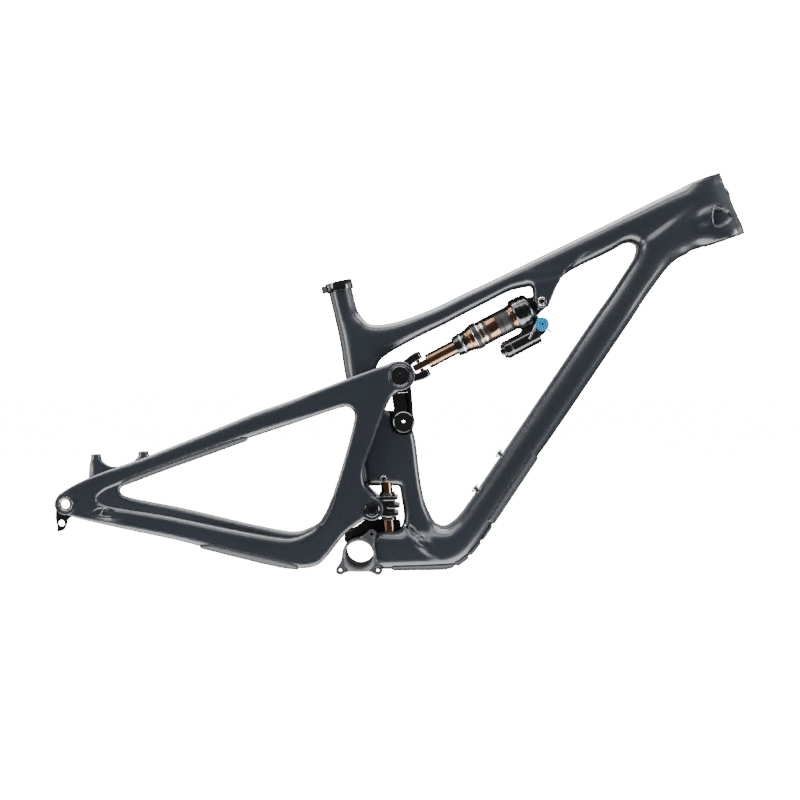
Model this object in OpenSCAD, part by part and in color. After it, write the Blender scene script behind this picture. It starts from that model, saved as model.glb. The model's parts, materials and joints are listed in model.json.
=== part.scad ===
// Full-suspension mountain bicycle frame with a sliding lower pivot and an air shock.
// Millimetres. Origin at the middle of the bottom bracket, +X forward, +Z up, drive side -Y.

/* [Bottom bracket] */
// Bore of the bottom bracket shell
bb_bore_d = 41; // [40:0.5:42]
// Width of the bottom bracket shell
bb_width = 92; // [90:1:94]
// Outer diameter of the bottom bracket shell
bb_od = 49; // [47:0.5:52]
// Distance of the chain guide holes from the axis
guide_hole_r = 36; // [35:0.5:37]

/* [Head tube] */
// Lean of the head tube from level
head_angle = 71.2; // [70:0.2:72]
// Length of the head tube
head_len = 98; // [94:1:102]
// Bore of the upper headset seat
upper_cup_d = 44; // [43:0.5:45]
// Bore of the lower headset seat
lower_cup_d = 56; // [55:0.5:57]
// Outer diameter at the top of the head tube
head_top_d = 51; // [50:0.5:53]
// Outer diameter at the bottom of the head tube
head_low_d = 63; // [62:0.5:65]

/* [Seat tube] */
// Lean of the seat tube from level
seat_angle = 76.7; // [76:0.1:77]
// Bore for the seat post
post_d = 31.6; // [30.9:0.1:31.8]
// Outer diameter of the seat tube
seat_od = 35; // [34.6:0.1:36]

/* [Rear end] */
// Distance of the rear axle behind the bottom bracket
axle_back = 424; // [420:1:428]
// Height of the rear axle above the bottom bracket
axle_up = 79; // [77:1:81]
// Gap between the dropouts
hub_gap = 148; // [146:1:150]
// Thickness of a dropout
dropout_t = 10; // [9:0.5:11]
// Bore for the through axle
axle_d = 12; // [11:0.5:13]

/* [Shock] */
// Outer diameter of the air can
can_d = 38.5; // [37:0.5:40]
// Diameter of the sliding shaft
shaft_d = 22.6; // [22:0.2:24]
// Diameter of the reservoir
reservoir_d = 27.6; // [26:0.2:29]

/* [Hidden] */
$fn = 64;

// Pivots in the plane of the frame, each as [x, z]
main_pivot = [19, 67.5];
rocker_pivot = [65.5, 196.5];
upper_pivot = [60.5, 265];
shock_front = [273, 376.5];
rear_axle = [-axle_back, axle_up];
head_top = [518.4, 562.7];
seat_top = [-32, 403.3];
rail_top = [40, 100.5];
rail_low = [45, 33];
run_gap = 0.05;      // radial clearance of a running fit
body_gap = 0.4;      // gap between faces that move past each other

// Widths across the frame, measured from its middle plane
spine_half = 24;
web_half = 13.5;
link_in = 14;
link_out = 24;
plate_in = 28;
plate_out = 44;
rail_y = 14;
rail_r = 8.5;
dropout_in = hub_gap / 2;
dropout_out = dropout_in + dropout_t;
pin_r = 7.5;         // main pivot axle
stub_r = 6.5;        // upper pivot pins
bearing_r = 14;
boss_r = 22;         // upper pivot boss
main_boss_r = 17;
rocker_boss_r = 17;
open_pivot_gap = 4;  // room at the open end of the linkage
far = 100;           // reach of a cut that runs right through
thread_r = 2.5;      // M5 screws
cap_r = 16;          // pivot caps
pin_head_r = 11;     // heads of the main pivot axle
main_bearing_r = 12;
main_bearing_in = 15;
main_bearing_out = 22;
rocker_axle_r = 6;
rocker_hollow_r = 2.6;
rocker_bearing_r = 11;
link_eye_r = 15.5;
bushing_t = 1.5;     // wall of the sliding bushings
rail_hidden = 10;    // length of the rails inside their seats
insert_r = 11.5;     // ring round the rear axle
seat_end = 145;      // length of the round part of the seat tube
rail_run = rail_top - rail_low;
rail_len = norm(rail_run);
rail_tilt = atan2(rail_run[1], rail_run[0]);
shock_run = shock_front - upper_pivot;
shock_tilt = atan2(shock_run[1], shock_run[0]);
shock_len = norm(shock_run);
link_run = upper_pivot - rocker_pivot;
link_tilt = atan2(link_run[1], link_run[0]);
eyelet_at = 206;     // shock length between its eyelets

carbon = "#2b3036";
gloss_black = "#15161a";
bronze = "#7a5a3c";
silver = "#b9bcc0";
grey = "#55595e";
gunmetal = "#6b6f76";
blue = "#1d8fd6";

// Places children at a point of the frame's plane, with local X along a direction at an angle
module at_xz(p, angle = 0) translate([p[0], 0, p[1]]) rotate([0, -angle, 0]) children();

// A cylinder along Y from y0 to y1
module along_y(r, y0, y1) translate([0, y1, 0]) rotate([90, 0, 0]) cylinder(r = r, h = y1 - y0);

// The same cylinder on both sides of the middle plane
module both_sides(r, y0, y1) {
    along_y(r, y0, y1);
    along_y(r, -y1, -y0);
}

// A ring along Y on both sides of the middle plane
module ring_pair(r_out, r_in, y0, y1) {
    difference() {
        both_sides(r_out, y0, y1);
        both_sides(r_in, y0 - 1, y1 + 1);
    }
}

// Extrudes a side view outline, drawn as x and z, from y0 to y1
module side_plate(y0, y1) translate([0, y1, 0]) rotate([90, 0, 0]) linear_extrude(y1 - y0) children();

// Cylinder along local X
module along_x(r, x0, x1) translate([x0, 0, 0]) rotate([0, 90, 0]) cylinder(r = r, h = x1 - x0);

module tube_along_x(r_out, r_in, x0, x1) {
    difference() {
        along_x(r_out, x0, x1);
        along_x(r_in, x0 - 1, x1 + 1);
    }
}

// Local frame of the shock: X points from the rear pivot to the front mount, which is at zero
module at_shock() at_xz(shock_front, shock_tilt) children();

// One rounded section of a tube: [x, y, z, depth, width, tilt]
section_n = 24;
section_t = 1;       // thickness of one section
function soft(v) = sign(v) * pow(abs(v), 0.78);
function section_points(depth, width) = [
    for (i = [0 : section_n - 1])
        let (a = 360 * i / section_n)
        [width / 2 * soft(cos(a)), depth / 2 * soft(sin(a))]
];
module section(s, grow = 0) {
    translate([s[0], s[1], s[2]])
        rotate([0, -s[5], 0])
            rotate([90, 0, 90])
                linear_extrude(section_t)
                    polygon(section_points(s[3] + 2 * grow, s[4] + 2 * grow));
}

// A tube lofted through sections first to last
module loft(stations, first, last, grow = 0) {
    for (i = [first : last - 1])
        hull() {
            section(stations[i], grow);
            section(stations[i + 1], grow);
        }
}

// Mirrors the drive side shape to the other side when side is 1
module on_side(side) mirror([0, side > 0 ? 1 : 0, 0]) children();

// ---- Front triangle ----
head_r_mid = (head_top_d + head_low_d) / 4;
module at_head() translate([head_top[0], 0, head_top[1]]) rotate([0, 180 - (90 - head_angle), 0]) children();
module head_outside(beyond = 0, grow = 0) rotate_extrude($fn = 96) polygon([
    [0, -beyond], [head_top_d / 2 + grow, -beyond], [head_top_d / 2 + grow, 10],
    [head_top_d / 2 + grow - 1.5, 13], [head_r_mid + grow, head_len * 0.6],
    [head_low_d / 2 + grow, head_len - 10], [head_low_d / 2 + grow, head_len + beyond], [0, head_len + beyond]
]);
module head_tube() color(carbon) at_head() difference() {
    head_outside();
    translate([0, 0, -1]) cylinder(d = upper_cup_d, h = 17);
    cylinder(r = 20.5, h = head_len);
    translate([0, 0, head_len - 16]) cylinder(d = lower_cup_d, h = 17);
}

top_stations = [
    [4, 0, 306, 76, 36, -14],
    [44, 0, 322.5, 43, 38, 20],
    [100, 0, 346.5, 31, 40, 25],
    [199, 0, 394.5, 27, 42, 26.5],
    [255, 0, 420, 33, 43, 26.5],
    [310, 0, 440, 43, 44, 26],
    [400, 0, 486.5, 40, 46, 26.5],
    [525, 0, 537, 60, 50, 24]
];
down_stations = [
    [548, 0, 513, 92, 54, 22],
    [450, 0, 449, 60, 53, 47],
    [392, 0, 368.5, 46, 57, 56],
    [256.5, 0, 168, 46, 62, 56],
    [188, 0, 67, 47, 68, 54],
    [146, 0, 13, 54, 74, 32],
    [110, 0, 5, 60, 78, 4],
    [8, 0, 1, 52, 80, 0]
];
// Line where the down tube meets the top tube, from the triangle's front corner
seam_start = [410, 466];
seam_end = [541, 513.2];
module head_room() at_head() head_outside(20, 0.02);
module top_tube() color(carbon) difference() {
    intersection() {
        loft(top_stations, 0, 7);
        side_plate(-far, far) polygon([
            [-60, 200], [300, 200], [300, 426.4], seam_start, seam_end, [600, 534], [600, 700], [-60, 700]
        ]);
    }
    head_room();
    at_seat() translate([0, 0, -40]) cylinder(d = seat_od, h = seat_end + 80);
    at_xz(upper_pivot) along_y(boss_r + 2, -far, far);
}
module down_tube() color(carbon) difference() {
    intersection() {
        loft(down_stations, 0, 7);
        side_plate(-far, far) polygon([
            [541, 495], seam_end, seam_start, [300, 426.4], [90, 90], [118, 60], [118, 27], [14, 27],
            [14, -60], [600, -60], [600, 495]
        ]);
    }
    head_room();
    along_y(bb_od / 2, -far, far);
    for (a = guide_angles) guide_lug(a, -60);
    for (p = boss_points) at_xz(p, boss_angle + 90) {
        along_x(boss_flange_r, boss_seat, 30);
        along_x(boss_shank_r, boss_end, 0);
    }
}
module at_seat() translate([seat_top[0], 0, seat_top[1]]) rotate([0, 90 + seat_angle, 0]) children();
module seat_tube() color(carbon) at_seat() difference() {
    cylinder(d = seat_od, h = seat_end);
    translate([0, 0, -1]) cylinder(d = post_d, h = seat_end - 4);
}
module lower_seat_tube() color(carbon) difference() {
    union() {
        difference() {
            side_plate(-spine_half, spine_half) polygon([
                [-22, 283.5], [15, 292], [19, 266], [30, 222], [36, 213], [56, 213], [66, 205], [74, 188],
                [84, 168], [88, 131], [92, 101], [97, 76], [106, 55], [113, 43], [118, 40], [118, 27], [26, 27],
                [26, 33], [61, 33], [66, 45], [66, 63], [62, 84], [60, 100.5], [9, 100.5]
            ]);
            // Pockets for the rocker link on both sides
            at_xz(rocker_pivot) for (side = [0, 1]) on_side(side) {
                along_y(rocker_boss_r + 2, -40, -web_half);
                translate([-20, -40, 0]) cube([50, 40 - web_half, 40]);
            }
        }
        at_xz(rocker_pivot) along_y(rocker_boss_r, -web_half - 0.2, web_half + 0.2);
    }
    at_seat() translate([0, 0, -60]) cylinder(d = 80, h = seat_end + 60);
    at_xz(rocker_pivot) along_y(rocker_axle_r, -far, far);
    rails(rail_len + rail_hidden, rail_r);
    for (side = [0, 1]) on_side(side) at_xz(rail_bolt_at) along_y(thread_r, -spine_half - 1, -spine_half + 6);
}
guide_angles = [59.2, 219.2, 320];
guide_lug_r = 7;
guide_y = -40;
guide_deep = 9;
guide_insert_r = 4.5;
module at_guide(a) translate([guide_hole_r * cos(a), 0, guide_hole_r * sin(a)]) children();
module guide_lug(a, y0) {
    at_guide(a) along_y(guide_lug_r, y0, guide_y + guide_deep);
    rotate([0, -a, 0]) translate([0, y0 + 0.5, -5]) cube([guide_hole_r, guide_y + guide_deep - 1 - y0, 10]);
}
module bb_shell() color(gunmetal) difference() {
    union() {
        along_y(bb_od / 2, -bb_width / 2, bb_width / 2);
        for (a = guide_angles) guide_lug(a, guide_y - 1);
    }
    along_y(bb_bore_d / 2, -far, far);
    for (a = guide_angles) at_guide(a) along_y(guide_insert_r, -far, far);
}
module chain_guide_inserts() color(silver) for (a = guide_angles) at_guide(a) difference() {
    along_y(guide_insert_r, guide_y - 1.5, guide_y + guide_deep);
    along_y(thread_r, -far, far);
}
ear_half_in = 11;
ear_half_out = 18;
shock_bolt_r = 4;
module shock_mount_ears() color(carbon) difference() {
    for (side = [0, 1]) on_side(side) side_plate(-ear_half_out, -ear_half_in) {
        translate(shock_front) circle(r = 12);
        polygon([[248, 417], [264, 395], [264, 370], [283, 370], [288, 382], [296, 403], [310, 428]]);
    }
    at_xz(shock_front) along_y(shock_bolt_r, -far, far);
    loft(top_stations, 3, 6);
}
collar_bolt_at = [23, 0, 3];
module seat_collar() color(gloss_black) at_seat() difference() {
    union() {
        translate([0, 0, -4]) cylinder(d = seat_od + 6, h = 14);
        translate([15, -7, -2]) cube([12, 14, 10]);
    }
    cylinder(d = seat_od, h = 20);
    translate([0, 0, -10]) cylinder(d = post_d, h = 30);
    translate([14, -1, -10]) cube([26, 2, 30]);
    translate(collar_bolt_at) along_y(thread_r, -20, 20);
}
module seat_collar_bolt() color(silver) at_seat() translate(collar_bolt_at) {
    along_y(thread_r, -7, 7);
    along_y(4, -11, -7);
    along_y(4, 7, 10);
}
module head_badge() color(grey) at_head() intersection() {
    difference() {
        cylinder(r = head_top_d / 2 + 3.5, h = head_len);
        translate([0, 0, -1]) cylinder(r1 = head_top_d / 2 + 0.3, r2 = head_low_d / 2 - 0.7, h = head_len + 2);
    }
    translate([-40, 0, 34]) rotate([0, 90, 0]) cylinder(r = 10, h = 22);
}
port_at = [532, 506];
module head_cable_ports() color(gloss_black) for (side = [0, 1]) on_side(side) at_xz(port_at, 40) difference() {
    translate([0, -32, 0]) along_y(8, -2, 5);
    translate([2, -33, 0]) rotate([0, 60, 0]) translate([0, 0, -20]) cylinder(r = 2.5, h = 40);
}
low_port_at = [88, 22];
module lower_cable_ports() color(gloss_black) for (side = [0, 1]) on_side(side) at_xz(low_port_at, -40) difference() {
    translate([0, -40, 0]) along_y(7.5, 0, 4);
    translate([0, -41, 0]) rotate([0, 70, 0]) translate([0, 0, -20]) cylinder(r = 2.5, h = 40);
}
boss_points = [[209, 149], [173, 96]];
boss_angle = 56;
boss_flange_r = 7;
boss_shank_r = 4;
boss_seat = -2.4;
boss_end = -12;
module bottle_bosses() color(silver) for (p = boss_points) at_xz(p, boss_angle + 90) difference() {
    union() {
        along_x(boss_flange_r, boss_seat, 1.6);
        along_x(boss_shank_r, boss_end, 0);
    }
    along_x(2.1, boss_end + 1, 5);
}
module down_tube_guard() color(grey) difference() {
    loft(down_stations, 3, 5, 2.5);
    loft(down_stations, 2, 5);
    side_plate(-far, far) polygon([[240, 220], [150, 190], [80, 20], [140, 0], [165, 10], [202, 63], [300, 207]]);
    side_plate(-far, far) polygon([[235, 163], [301, 119], [301, 260], [200, 260]]);
    side_plate(-far, far) polygon([[100, -60], [260, -60], [260, 3], [201, 43], [150, 77]]);
}
module lower_guard_segments() color(grey) difference() {
    loft(down_stations, 4, 7, 2);
    loft(down_stations, 3, 7);
    side_plate(-far, far) polygon([[40, 80], [40, -16], [134, -14], [190, 60], [196, 47], [260, 120], [40, 120]]);
    for (cut = [[186, 20, 52], [167, -4, 45], [143, -20, 20]])
        at_xz([cut[0], cut[1]], cut[2] + 90) translate([-30, -60, -0.8]) cube([60, 120, 1.6]);
    side_plate(-far, far) polygon([[-20, -60], [44, -60], [44, 60], [-20, 60]]);
    side_plate(-far, far) polygon([[259, 1], [199.5, 41.3], [148, 76], [148, 150], [300, 150], [300, 1]]);
}
module shock_mount_bolt() color(silver) at_xz(shock_front) {
    along_y(shock_bolt_r - run_gap, -ear_half_out, ear_half_out);
    along_y(6.8, -ear_half_out - 3, -ear_half_out);
    along_y(6, ear_half_out, ear_half_out + 4);
}
module rails(len, r) for (y = [-rail_y, rail_y])
    translate([rail_low[0], y, rail_low[1]])
        rotate([0, 90 - rail_tilt, 0])
            translate([0, 0, (rail_len - len) / 2]) cylinder(r = r, h = len);
module slider_rails() color(bronze) rails(rail_len + rail_hidden, rail_r);
module rail_holder() color(gloss_black) difference() {
    side_plate(-10, 10) polygon([[4, 33], [4, 44], [9, 49], [58, 49], [62, 44], [61, 33]]);
    rails(rail_len + rail_hidden, rail_r);
}
rail_bolt_at = [36, 111.5];
module rail_bolts() color(silver) for (side = [0, 1]) on_side(side) at_xz(rail_bolt_at) {
    along_y(5, -spine_half - 3, -spine_half);
    along_y(thread_r, -spine_half, -spine_half + 6);
}
module rocker_axle() color(gloss_black) at_xz(rocker_pivot) difference() {
    along_y(rocker_axle_r, -link_out - body_gap, link_out + body_gap);
    along_y(rocker_hollow_r, -far, far);
}
module rocker_caps() color(gloss_black) at_xz(rocker_pivot)
    ring_pair(cap_r, rocker_hollow_r, link_out + body_gap, link_out + body_gap + 3);

// ---- Sliding carrier of the lower pivot ----
block_half = 26;
block_low = 54;
block_top = 83;
module slider_block() color(gloss_black) difference() {
    side_plate(-block_half, block_half) difference() {
        union() {
            polygon([[19, block_low], [55, block_low + 1], [54, block_top - 1], [30, block_top + 0.5], [19, 82]]);
            translate(main_pivot) circle(r = 15);
        }
    }
    rails(rail_len + 60, rail_r + bushing_t);
    at_xz(main_pivot) {
        along_y(pin_r + 0.5, -far, far);
        both_sides(main_bearing_r, main_bearing_in, main_bearing_out);
    }
}
module slider_bushings() color(bronze) intersection() {
    difference() {
        rails(rail_len + 20, rail_r + bushing_t);
        rails(rail_len + 60, rail_r + run_gap);
    }
    side_plate(-far, far) polygon([[20, 56], [60, 57], [60, 81], [20, 80]]);
}
module slider_wipers() color(gloss_black) for (z = [[49, 54], [84, 89]]) intersection() {
    difference() {
        rails(rail_len + 60, rail_r + 3.2);
        rails(rail_len + 80, rail_r + run_gap);
    }
    side_plate(-far, far) polygon([[20, z[0]], [70, z[0] + 1], [70, z[1] + 1], [20, z[1]]]);
}
module main_pivot_bearings() color(silver) at_xz(main_pivot) 
    ring_pair(main_bearing_r, pin_r + run_gap, main_bearing_in, main_bearing_out);

// ---- Swingarm ----
boss_proud = 0.6;    // height of the pivot bosses over the plate
module upright(side) on_side(side) difference() {
    union() {
        side_plate(-plate_out, -plate_in) polygon([
            [-68, 242], [-13, 263], [22, 276], [56, 282], [62, 264], [70, 252], [59, 243], [48, 236],
            [42, 225], [35, 208], [23, 173], [10, 139], [5, 121], [6, 108], [12, 92], [20, 78], [22, 66],
            [15, 56], [2, 48], [-7, 42], [-18, 33], [-28, 23], [-41, 5], [-57, -13], [-67, -18], [-82, -20],
            [-82, 28], [-66, 37], [-57, 48], [-48, 66], [-39, 87], [-18, 156], [-8, 198], [-8, 208], [-13, 215],
            [-22, 217], [-68, 201]
        ]);
        at_xz(upper_pivot) along_y(boss_r, -plate_out - boss_proud, -plate_in - boss_proud);
        at_xz(main_pivot) along_y(main_boss_r, -plate_out - boss_proud, -plate_in - boss_proud);
    }
    at_xz(upper_pivot) {
        along_y(bearing_r, -plate_in - 10, 0);
        along_y(cap_r + 0.5, -far, -plate_out + 3);
        along_y(stub_r, -far, 0);
    }
    at_xz(main_pivot) {
        along_y(pin_r, -far, 0);
        along_y(pin_head_r, -far, -plate_out);
    }
}
module upright_right() color(carbon) upright(0);
module upright_left() color(carbon) upright(1);

stay_start = -68;
seatstay_stations = [
    [-50, -36, 229, 41, 17, 21],
    [-154, -49, 190, 37, 18, 21],
    [-248, -61, 156.5, 28, 17, 20.5],
    [-340, -72, 121.5, 25, 15, 21],
    [-392, -78, 99, 30, 12, 21]
];
chainstay_start = -82;
chainstay_stations = [
    [-70, -39, 6, 50, 19, -4],
    [-112, -46, 4.5, 41, 20, -11],
    [-171, -54, 18, 34, 20, -13],
    [-250, -63, 37, 31, 18, -13.5],
    [-340, -74, 56.5, 28, 14, -12],
    [-392, -78.5, 67, 26, 11, -10]
];
stay_end = -384;
module seatstay(side) on_side(side) intersection() {
    loft(seatstay_stations, 0, 4);
    side_plate(-far, 0) polygon([[stay_start, 300], [stay_start, 0], [-366, 90], [stay_end, 88], [stay_end, 300]]);
}
module chainstay(side) on_side(side) intersection() {
    loft(chainstay_stations, 0, 5);
    side_plate(-far, 0) polygon([
        [chainstay_start, -60], [chainstay_start, 60], [-250, 70], [-366, 90], [stay_end, 88], [stay_end, -60]
    ]);
}
module seatstay_right() color(carbon) seatstay(0);
module seatstay_left() color(carbon) difference() {
    seatstay(1);
    for (p = post_tops) post_hole(p);
}
module chainstay_right() color(carbon) chainstay(0);
module chainstay_left() color(carbon) chainstay(1);

module dropout(side) on_side(side) difference() {
    side_plate(-dropout_out, -dropout_in) difference() {
        union() {
            translate(rear_axle) circle(r = 16.5);
            polygon([
                [stay_end, 117], [-392, 115], [-404, 111.5], [-416, 105], [-429, 96], [-438, 88], [-436, 68],
                [-424, 62], [-404, 57], [stay_end, 52]
            ]);
        }
    }
    at_xz(rear_axle) {
        along_y(axle_d / 2, -far, 0);
        along_y(insert_r, -far, -dropout_out + 3);
    }
}
module dropout_right() color(carbon) difference() {
    dropout(0);
    side_plate(-dropout_in - hanger_t, -dropout_in + 1) hanger_outline();
    at_xz(hanger_screw_at) along_y(hanger_screw_r + 0.1, -dropout_out + 0.9, 0);
}
module dropout_left() color(carbon) dropout(1);
module dropout_inserts() color(silver) at_xz(rear_axle)
    ring_pair(insert_r, axle_d / 2, dropout_out - 3, dropout_out + 0.6);
bridge_at = [-19, 96];
module swingarm_bridge() color(carbon) at_xz(bridge_at, 72) hull() {
    along_y(11, -plate_in, plate_in);
    translate([-24, 0, 0]) along_y(9, -plate_in, plate_in);
}
hanger_hole = [-431, 50];
hanger_t = 5;
hanger_screw_at = [-418, 58];
hanger_screw_r = 2;
hanger_head_r = 3.6;
hanger_seat = -dropout_in - 2;
module hanger_outline() difference() {
    union() {
        translate(hanger_hole) circle(r = 9);
        polygon([
            [-436, 84], [-440, 58], [-437, 46], [-431, 50], [-424, 47], [-417, 52], [-409, 62], [-411, 90],
            [-430, 94]
        ]);
    }
    translate(rear_axle) circle(r = insert_r + 0.5);
    translate([-443, 44]) circle(r = 5);
}
module derailleur_hanger() color(gloss_black) difference() {
    side_plate(-dropout_in - hanger_t, -dropout_in) hanger_outline();
    at_xz(hanger_hole) along_y(5, -far, 0);
    at_xz(hanger_screw_at) {
        along_y(hanger_screw_r, -far, 0);
        along_y(hanger_head_r, hanger_seat, 0);
    }
}
module hanger_screw() color(silver) at_xz(hanger_screw_at) {
    along_y(hanger_screw_r, -dropout_out + 1, hanger_seat);
    along_y(hanger_head_r, hanger_seat, -dropout_in);
}
post_tops = [[-416, 143], [-342, 147.5]];
post_tilt = atan2(post_tops[1][1] - post_tops[0][1], post_tops[1][0] - post_tops[0][0]);
post_y = 75;
post_r = 7;
post_insert_r = 4;
post_depth = 14;
module post_hole(p) at_xz(p, post_tilt) translate([0, post_y, -post_depth]) cylinder(r = post_insert_r, h = 20);
module brake_mount() color(carbon) difference() {
    union() {
        side_plate(post_y - post_r, post_y + post_r) polygon([
            [-427, 98], [-423, 128], [-409, 129], [-405, 130], [-395, 124], [-381, 124], [-368, 128],
            [-357, 133], [-350, 136], [-335, 137], [-322, 143], [-320, 120], [-400, 92]
        ]);
        for (p = post_tops) at_xz(p, post_tilt) translate([0, post_y, -26]) cylinder(r = post_r, h = 26);
    }
    on_side(1) loft(seatstay_stations, 2, 4);
    side_plate(50, 100) polygon([
        [stay_end, 117], [-392, 115], [-404, 111.5], [-416, 105], [-429, 96], [-438, 88], [-436, 40], [stay_end, 40]
    ]);
    side_plate(50, 100) polygon([[stay_end, 116], [stay_end, 60], [-300, 60], [-300, 140], [-330, 126]]);
    for (p = post_tops) post_hole(p);
}
module brake_mount_inserts() color(silver) for (p = post_tops)
    at_xz(p, post_tilt) translate([0, post_y, -post_depth]) difference() {
        cylinder(r = post_insert_r, h = post_depth + 0.5);
        translate([0, 0, -1]) cylinder(r = thread_r, h = 20);
    }
module chainstay_guards() color(grey) {
    on_side(0) difference() {
        loft(chainstay_stations, 1, 3, 2.2);
        loft(chainstay_stations, 0, 4);
        side_plate(-far, 0) polygon([[-300, 100], [-300, 34], [-222, 14], [-82, -14], [-60, -20], [-60, 100]]);
        side_plate(-far, 0) polygon([[-300, 100], [-300, -60], [-222, -60], [-217, 14], [-217, 100]]);
        side_plate(-far, 0) polygon([[-86, 100], [-86, -60], [-40, -60], [-40, 100]]);
    }
    on_side(0) side_plate(-plate_out - 2, -plate_out)
        polygon([[-40, 87], [-34, 87], [-49, 51], [-56, 51], [-47, 66]]);
}
module seatstay_guard() color(grey) on_side(0) difference() {
    loft(seatstay_stations, 1, 3, 2);
    loft(seatstay_stations, 0, 4);
    side_plate(-far, 0) polygon([[-350, 200], [-350, 114], [-250, 147], [-150, 182], [-150, 260]]);
    side_plate(-far, 0) polygon([[-165, 260], [-165, 100], [-140, 100], [-140, 260]]);
    side_plate(-far, 0) polygon([[-345, 60], [-345, 160], [-331, 160], [-331, 60]]);
}
stay_port_at = [-373, 66];
module chainstay_cable_ports() color(gloss_black) on_side(0) at_xz(stay_port_at, -10) difference() {
    translate([0, -83.4, 0]) along_y(5.5, -1.5, 1.5);
    translate([0, -84, 0]) rotate([0, 90, 0]) translate([0, 0, -10]) cylinder(r = 1.8, h = 20);
}
module main_pivot_axle() color(gloss_black) at_xz(main_pivot) difference() {
    union() {
        along_y(pin_r, -plate_out, plate_out);
        both_sides(pin_head_r, plate_out, plate_out + 2.5);
    }
    both_sides(3, plate_out - 4, plate_out + 3);
}
module upper_pivot_pins() color(gloss_black) at_xz(upper_pivot)
    both_sides(stub_r, link_in + 0.5, plate_out - 3);
module upper_pivot_bearings() color(silver) at_xz(upper_pivot)
    ring_pair(bearing_r, stub_r, plate_in, plate_in + 9);
module upper_pivot_caps() color(gloss_black) at_xz(upper_pivot) difference() {
    both_sides(cap_r, plate_out - 3, plate_out + 0.5);
    both_sides(3, plate_out - 1, plate_out + 2);
}

// ---- Rocker link ----
module rocker_link() color(gloss_black) difference() {
    union() {
        at_xz(rocker_pivot, link_tilt) for (side = [0, 1]) on_side(side) side_plate(-link_out, -link_in) {
            circle(r = link_eye_r);
            translate([norm(link_run), 0]) circle(r = link_eye_r);
            polygon([
                [0, link_eye_r], [22, 13], [30, 14], [norm(link_run), link_eye_r], [norm(link_run), -link_eye_r],
                [0, -link_eye_r]
            ]);
        }
        at_xz(rocker_pivot, link_tilt) translate([22, -link_in, -10]) cube([18, 2 * link_in, 20]);
    }
    at_xz(rocker_pivot) along_y(rocker_bearing_r, -far, far);
    at_xz(upper_pivot) along_y(stub_r + open_pivot_gap, -far, far);
}
module rocker_bearings() color(silver) at_xz(rocker_pivot) 
    ring_pair(rocker_bearing_r, rocker_axle_r + run_gap, link_in + 2, link_out);

// ---- Shock: the part fixed to the front mount ----
can_back = -118;
can_front = -50;
can_bore_r = 15.2;
seal_back = -146;
head_barrel_r = 24.5;
eyelet_r = 6.4;
eyelet_boss_r = 10.5;
reservoir_drop = 40;   // distance of the reservoir's axis below the shock's
valve_r = 5;
module shock_head() color(gunmetal) at_shock() difference() {
    union() {
        along_x(head_barrel_r, -46, -18);
        along_x(can_d / 2, can_front, -46);
        along_y(eyelet_boss_r, -ear_half_in + body_gap, ear_half_in - body_gap);
        translate([-20, -9, -9]) cube([20, 18, 18]);
        translate([-50, -10, -34]) cube([24, 20, 14]);
        translate([-16, 0, -30]) along_y(9, -20, 10);
        translate([-34, -9, -36]) cube([18, 18, 14]);
    }
    along_y(eyelet_r, -far, far);
    translate([0, 0, -reservoir_drop]) along_x(reservoir_d / 2, -59, 1);
}
module air_can() color(bronze) at_shock() tube_along_x(can_d / 2, can_bore_r, can_back, can_front);
module seal_head() color(gloss_black) at_shock() difference() {
    union() {
        along_x(can_d / 2 - 0.8, -128, can_back);
        along_x(16.4, seal_back, -128);
        along_x(can_bore_r, can_back, can_back + 6);
    }
    along_x(shaft_d / 2 + run_gap, -150, -100);
}
module reservoir() color(gloss_black) at_shock() translate([0, 0, -reservoir_drop]) difference() {
    along_x(reservoir_d / 2, -86, -32);
    along_x(reservoir_d / 2 - 2.5, -83, -35);
    along_x(valve_r, -90, -80);
}
module air_valve_cap() color(gloss_black) at_shock() translate([0, 0, -reservoir_drop])
    along_x(valve_r, -89, -83);
module shock_eyelet_bushing() color(silver) at_shock() difference() {
    along_y(eyelet_r, -ear_half_in + body_gap, ear_half_in - body_gap);
    along_y(shock_bolt_r + run_gap, -far, far);
}

// ---- Shock: the sliding shaft with its yoke ----
prong_at = 13.5;      // distance of a prong's middle from the shock's axis
prong_half = 5;
yoke_bolt_r = 4;
yoke_hub_r = 13;
module shock_shaft() color(bronze) at_shock() difference() {
    union() {
        along_x(shaft_d / 2, -eyelet_at + 9, -90);
        translate([-eyelet_at - 9, -10, -8]) cube([22, 20, 16]);
    }
    translate([-eyelet_at, 0, -20]) cylinder(r = yoke_bolt_r, h = 40);
    translate([-eyelet_at - 20, -30, -20]) cube([13, 60, 40]);
}
module shock_piston() color(silver) at_shock() along_x(can_bore_r - 0.1, -90, -84);
module shock_yoke() color(gloss_black) at_shock() difference() {
    union() {
        translate([-shock_len, 0, 0]) along_y(yoke_hub_r, -12, 12);
        translate([-shock_len, -9, -18]) cube([20, 18, 36]);
        for (side = [-1, 1]) {
            translate([-shock_len + 8, -9, side * prong_at - prong_half]) cube([26, 18, 2 * prong_half]);
            translate([-eyelet_at, 0, side * prong_at - prong_half]) cylinder(r = 9, h = 2 * prong_half);
        }
    }
    translate([-eyelet_at - 12, -20, -8.2]) cube([60, 40, 16.4]);
    translate([-eyelet_at, 0, -30]) cylinder(r = yoke_bolt_r, h = 60);
    translate([-shock_len, 0, 0]) difference() {
        along_y(60, -20, 20);
        along_y(18.5, -30, 30);
        translate([0, -30, -60]) cube([70, 60, 120]);
    }
}
module yoke_bolts() color(silver) at_shock() translate([-eyelet_at, 0, 0]) {
    translate([0, 0, -prong_at - prong_half]) cylinder(r = yoke_bolt_r - run_gap, h = 2 * (prong_at + prong_half));
    for (z = [-prong_at - prong_half - 2.5, prong_at + prong_half]) translate([0, 0, z]) cylinder(r = 6, h = 2.5);
}

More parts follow.
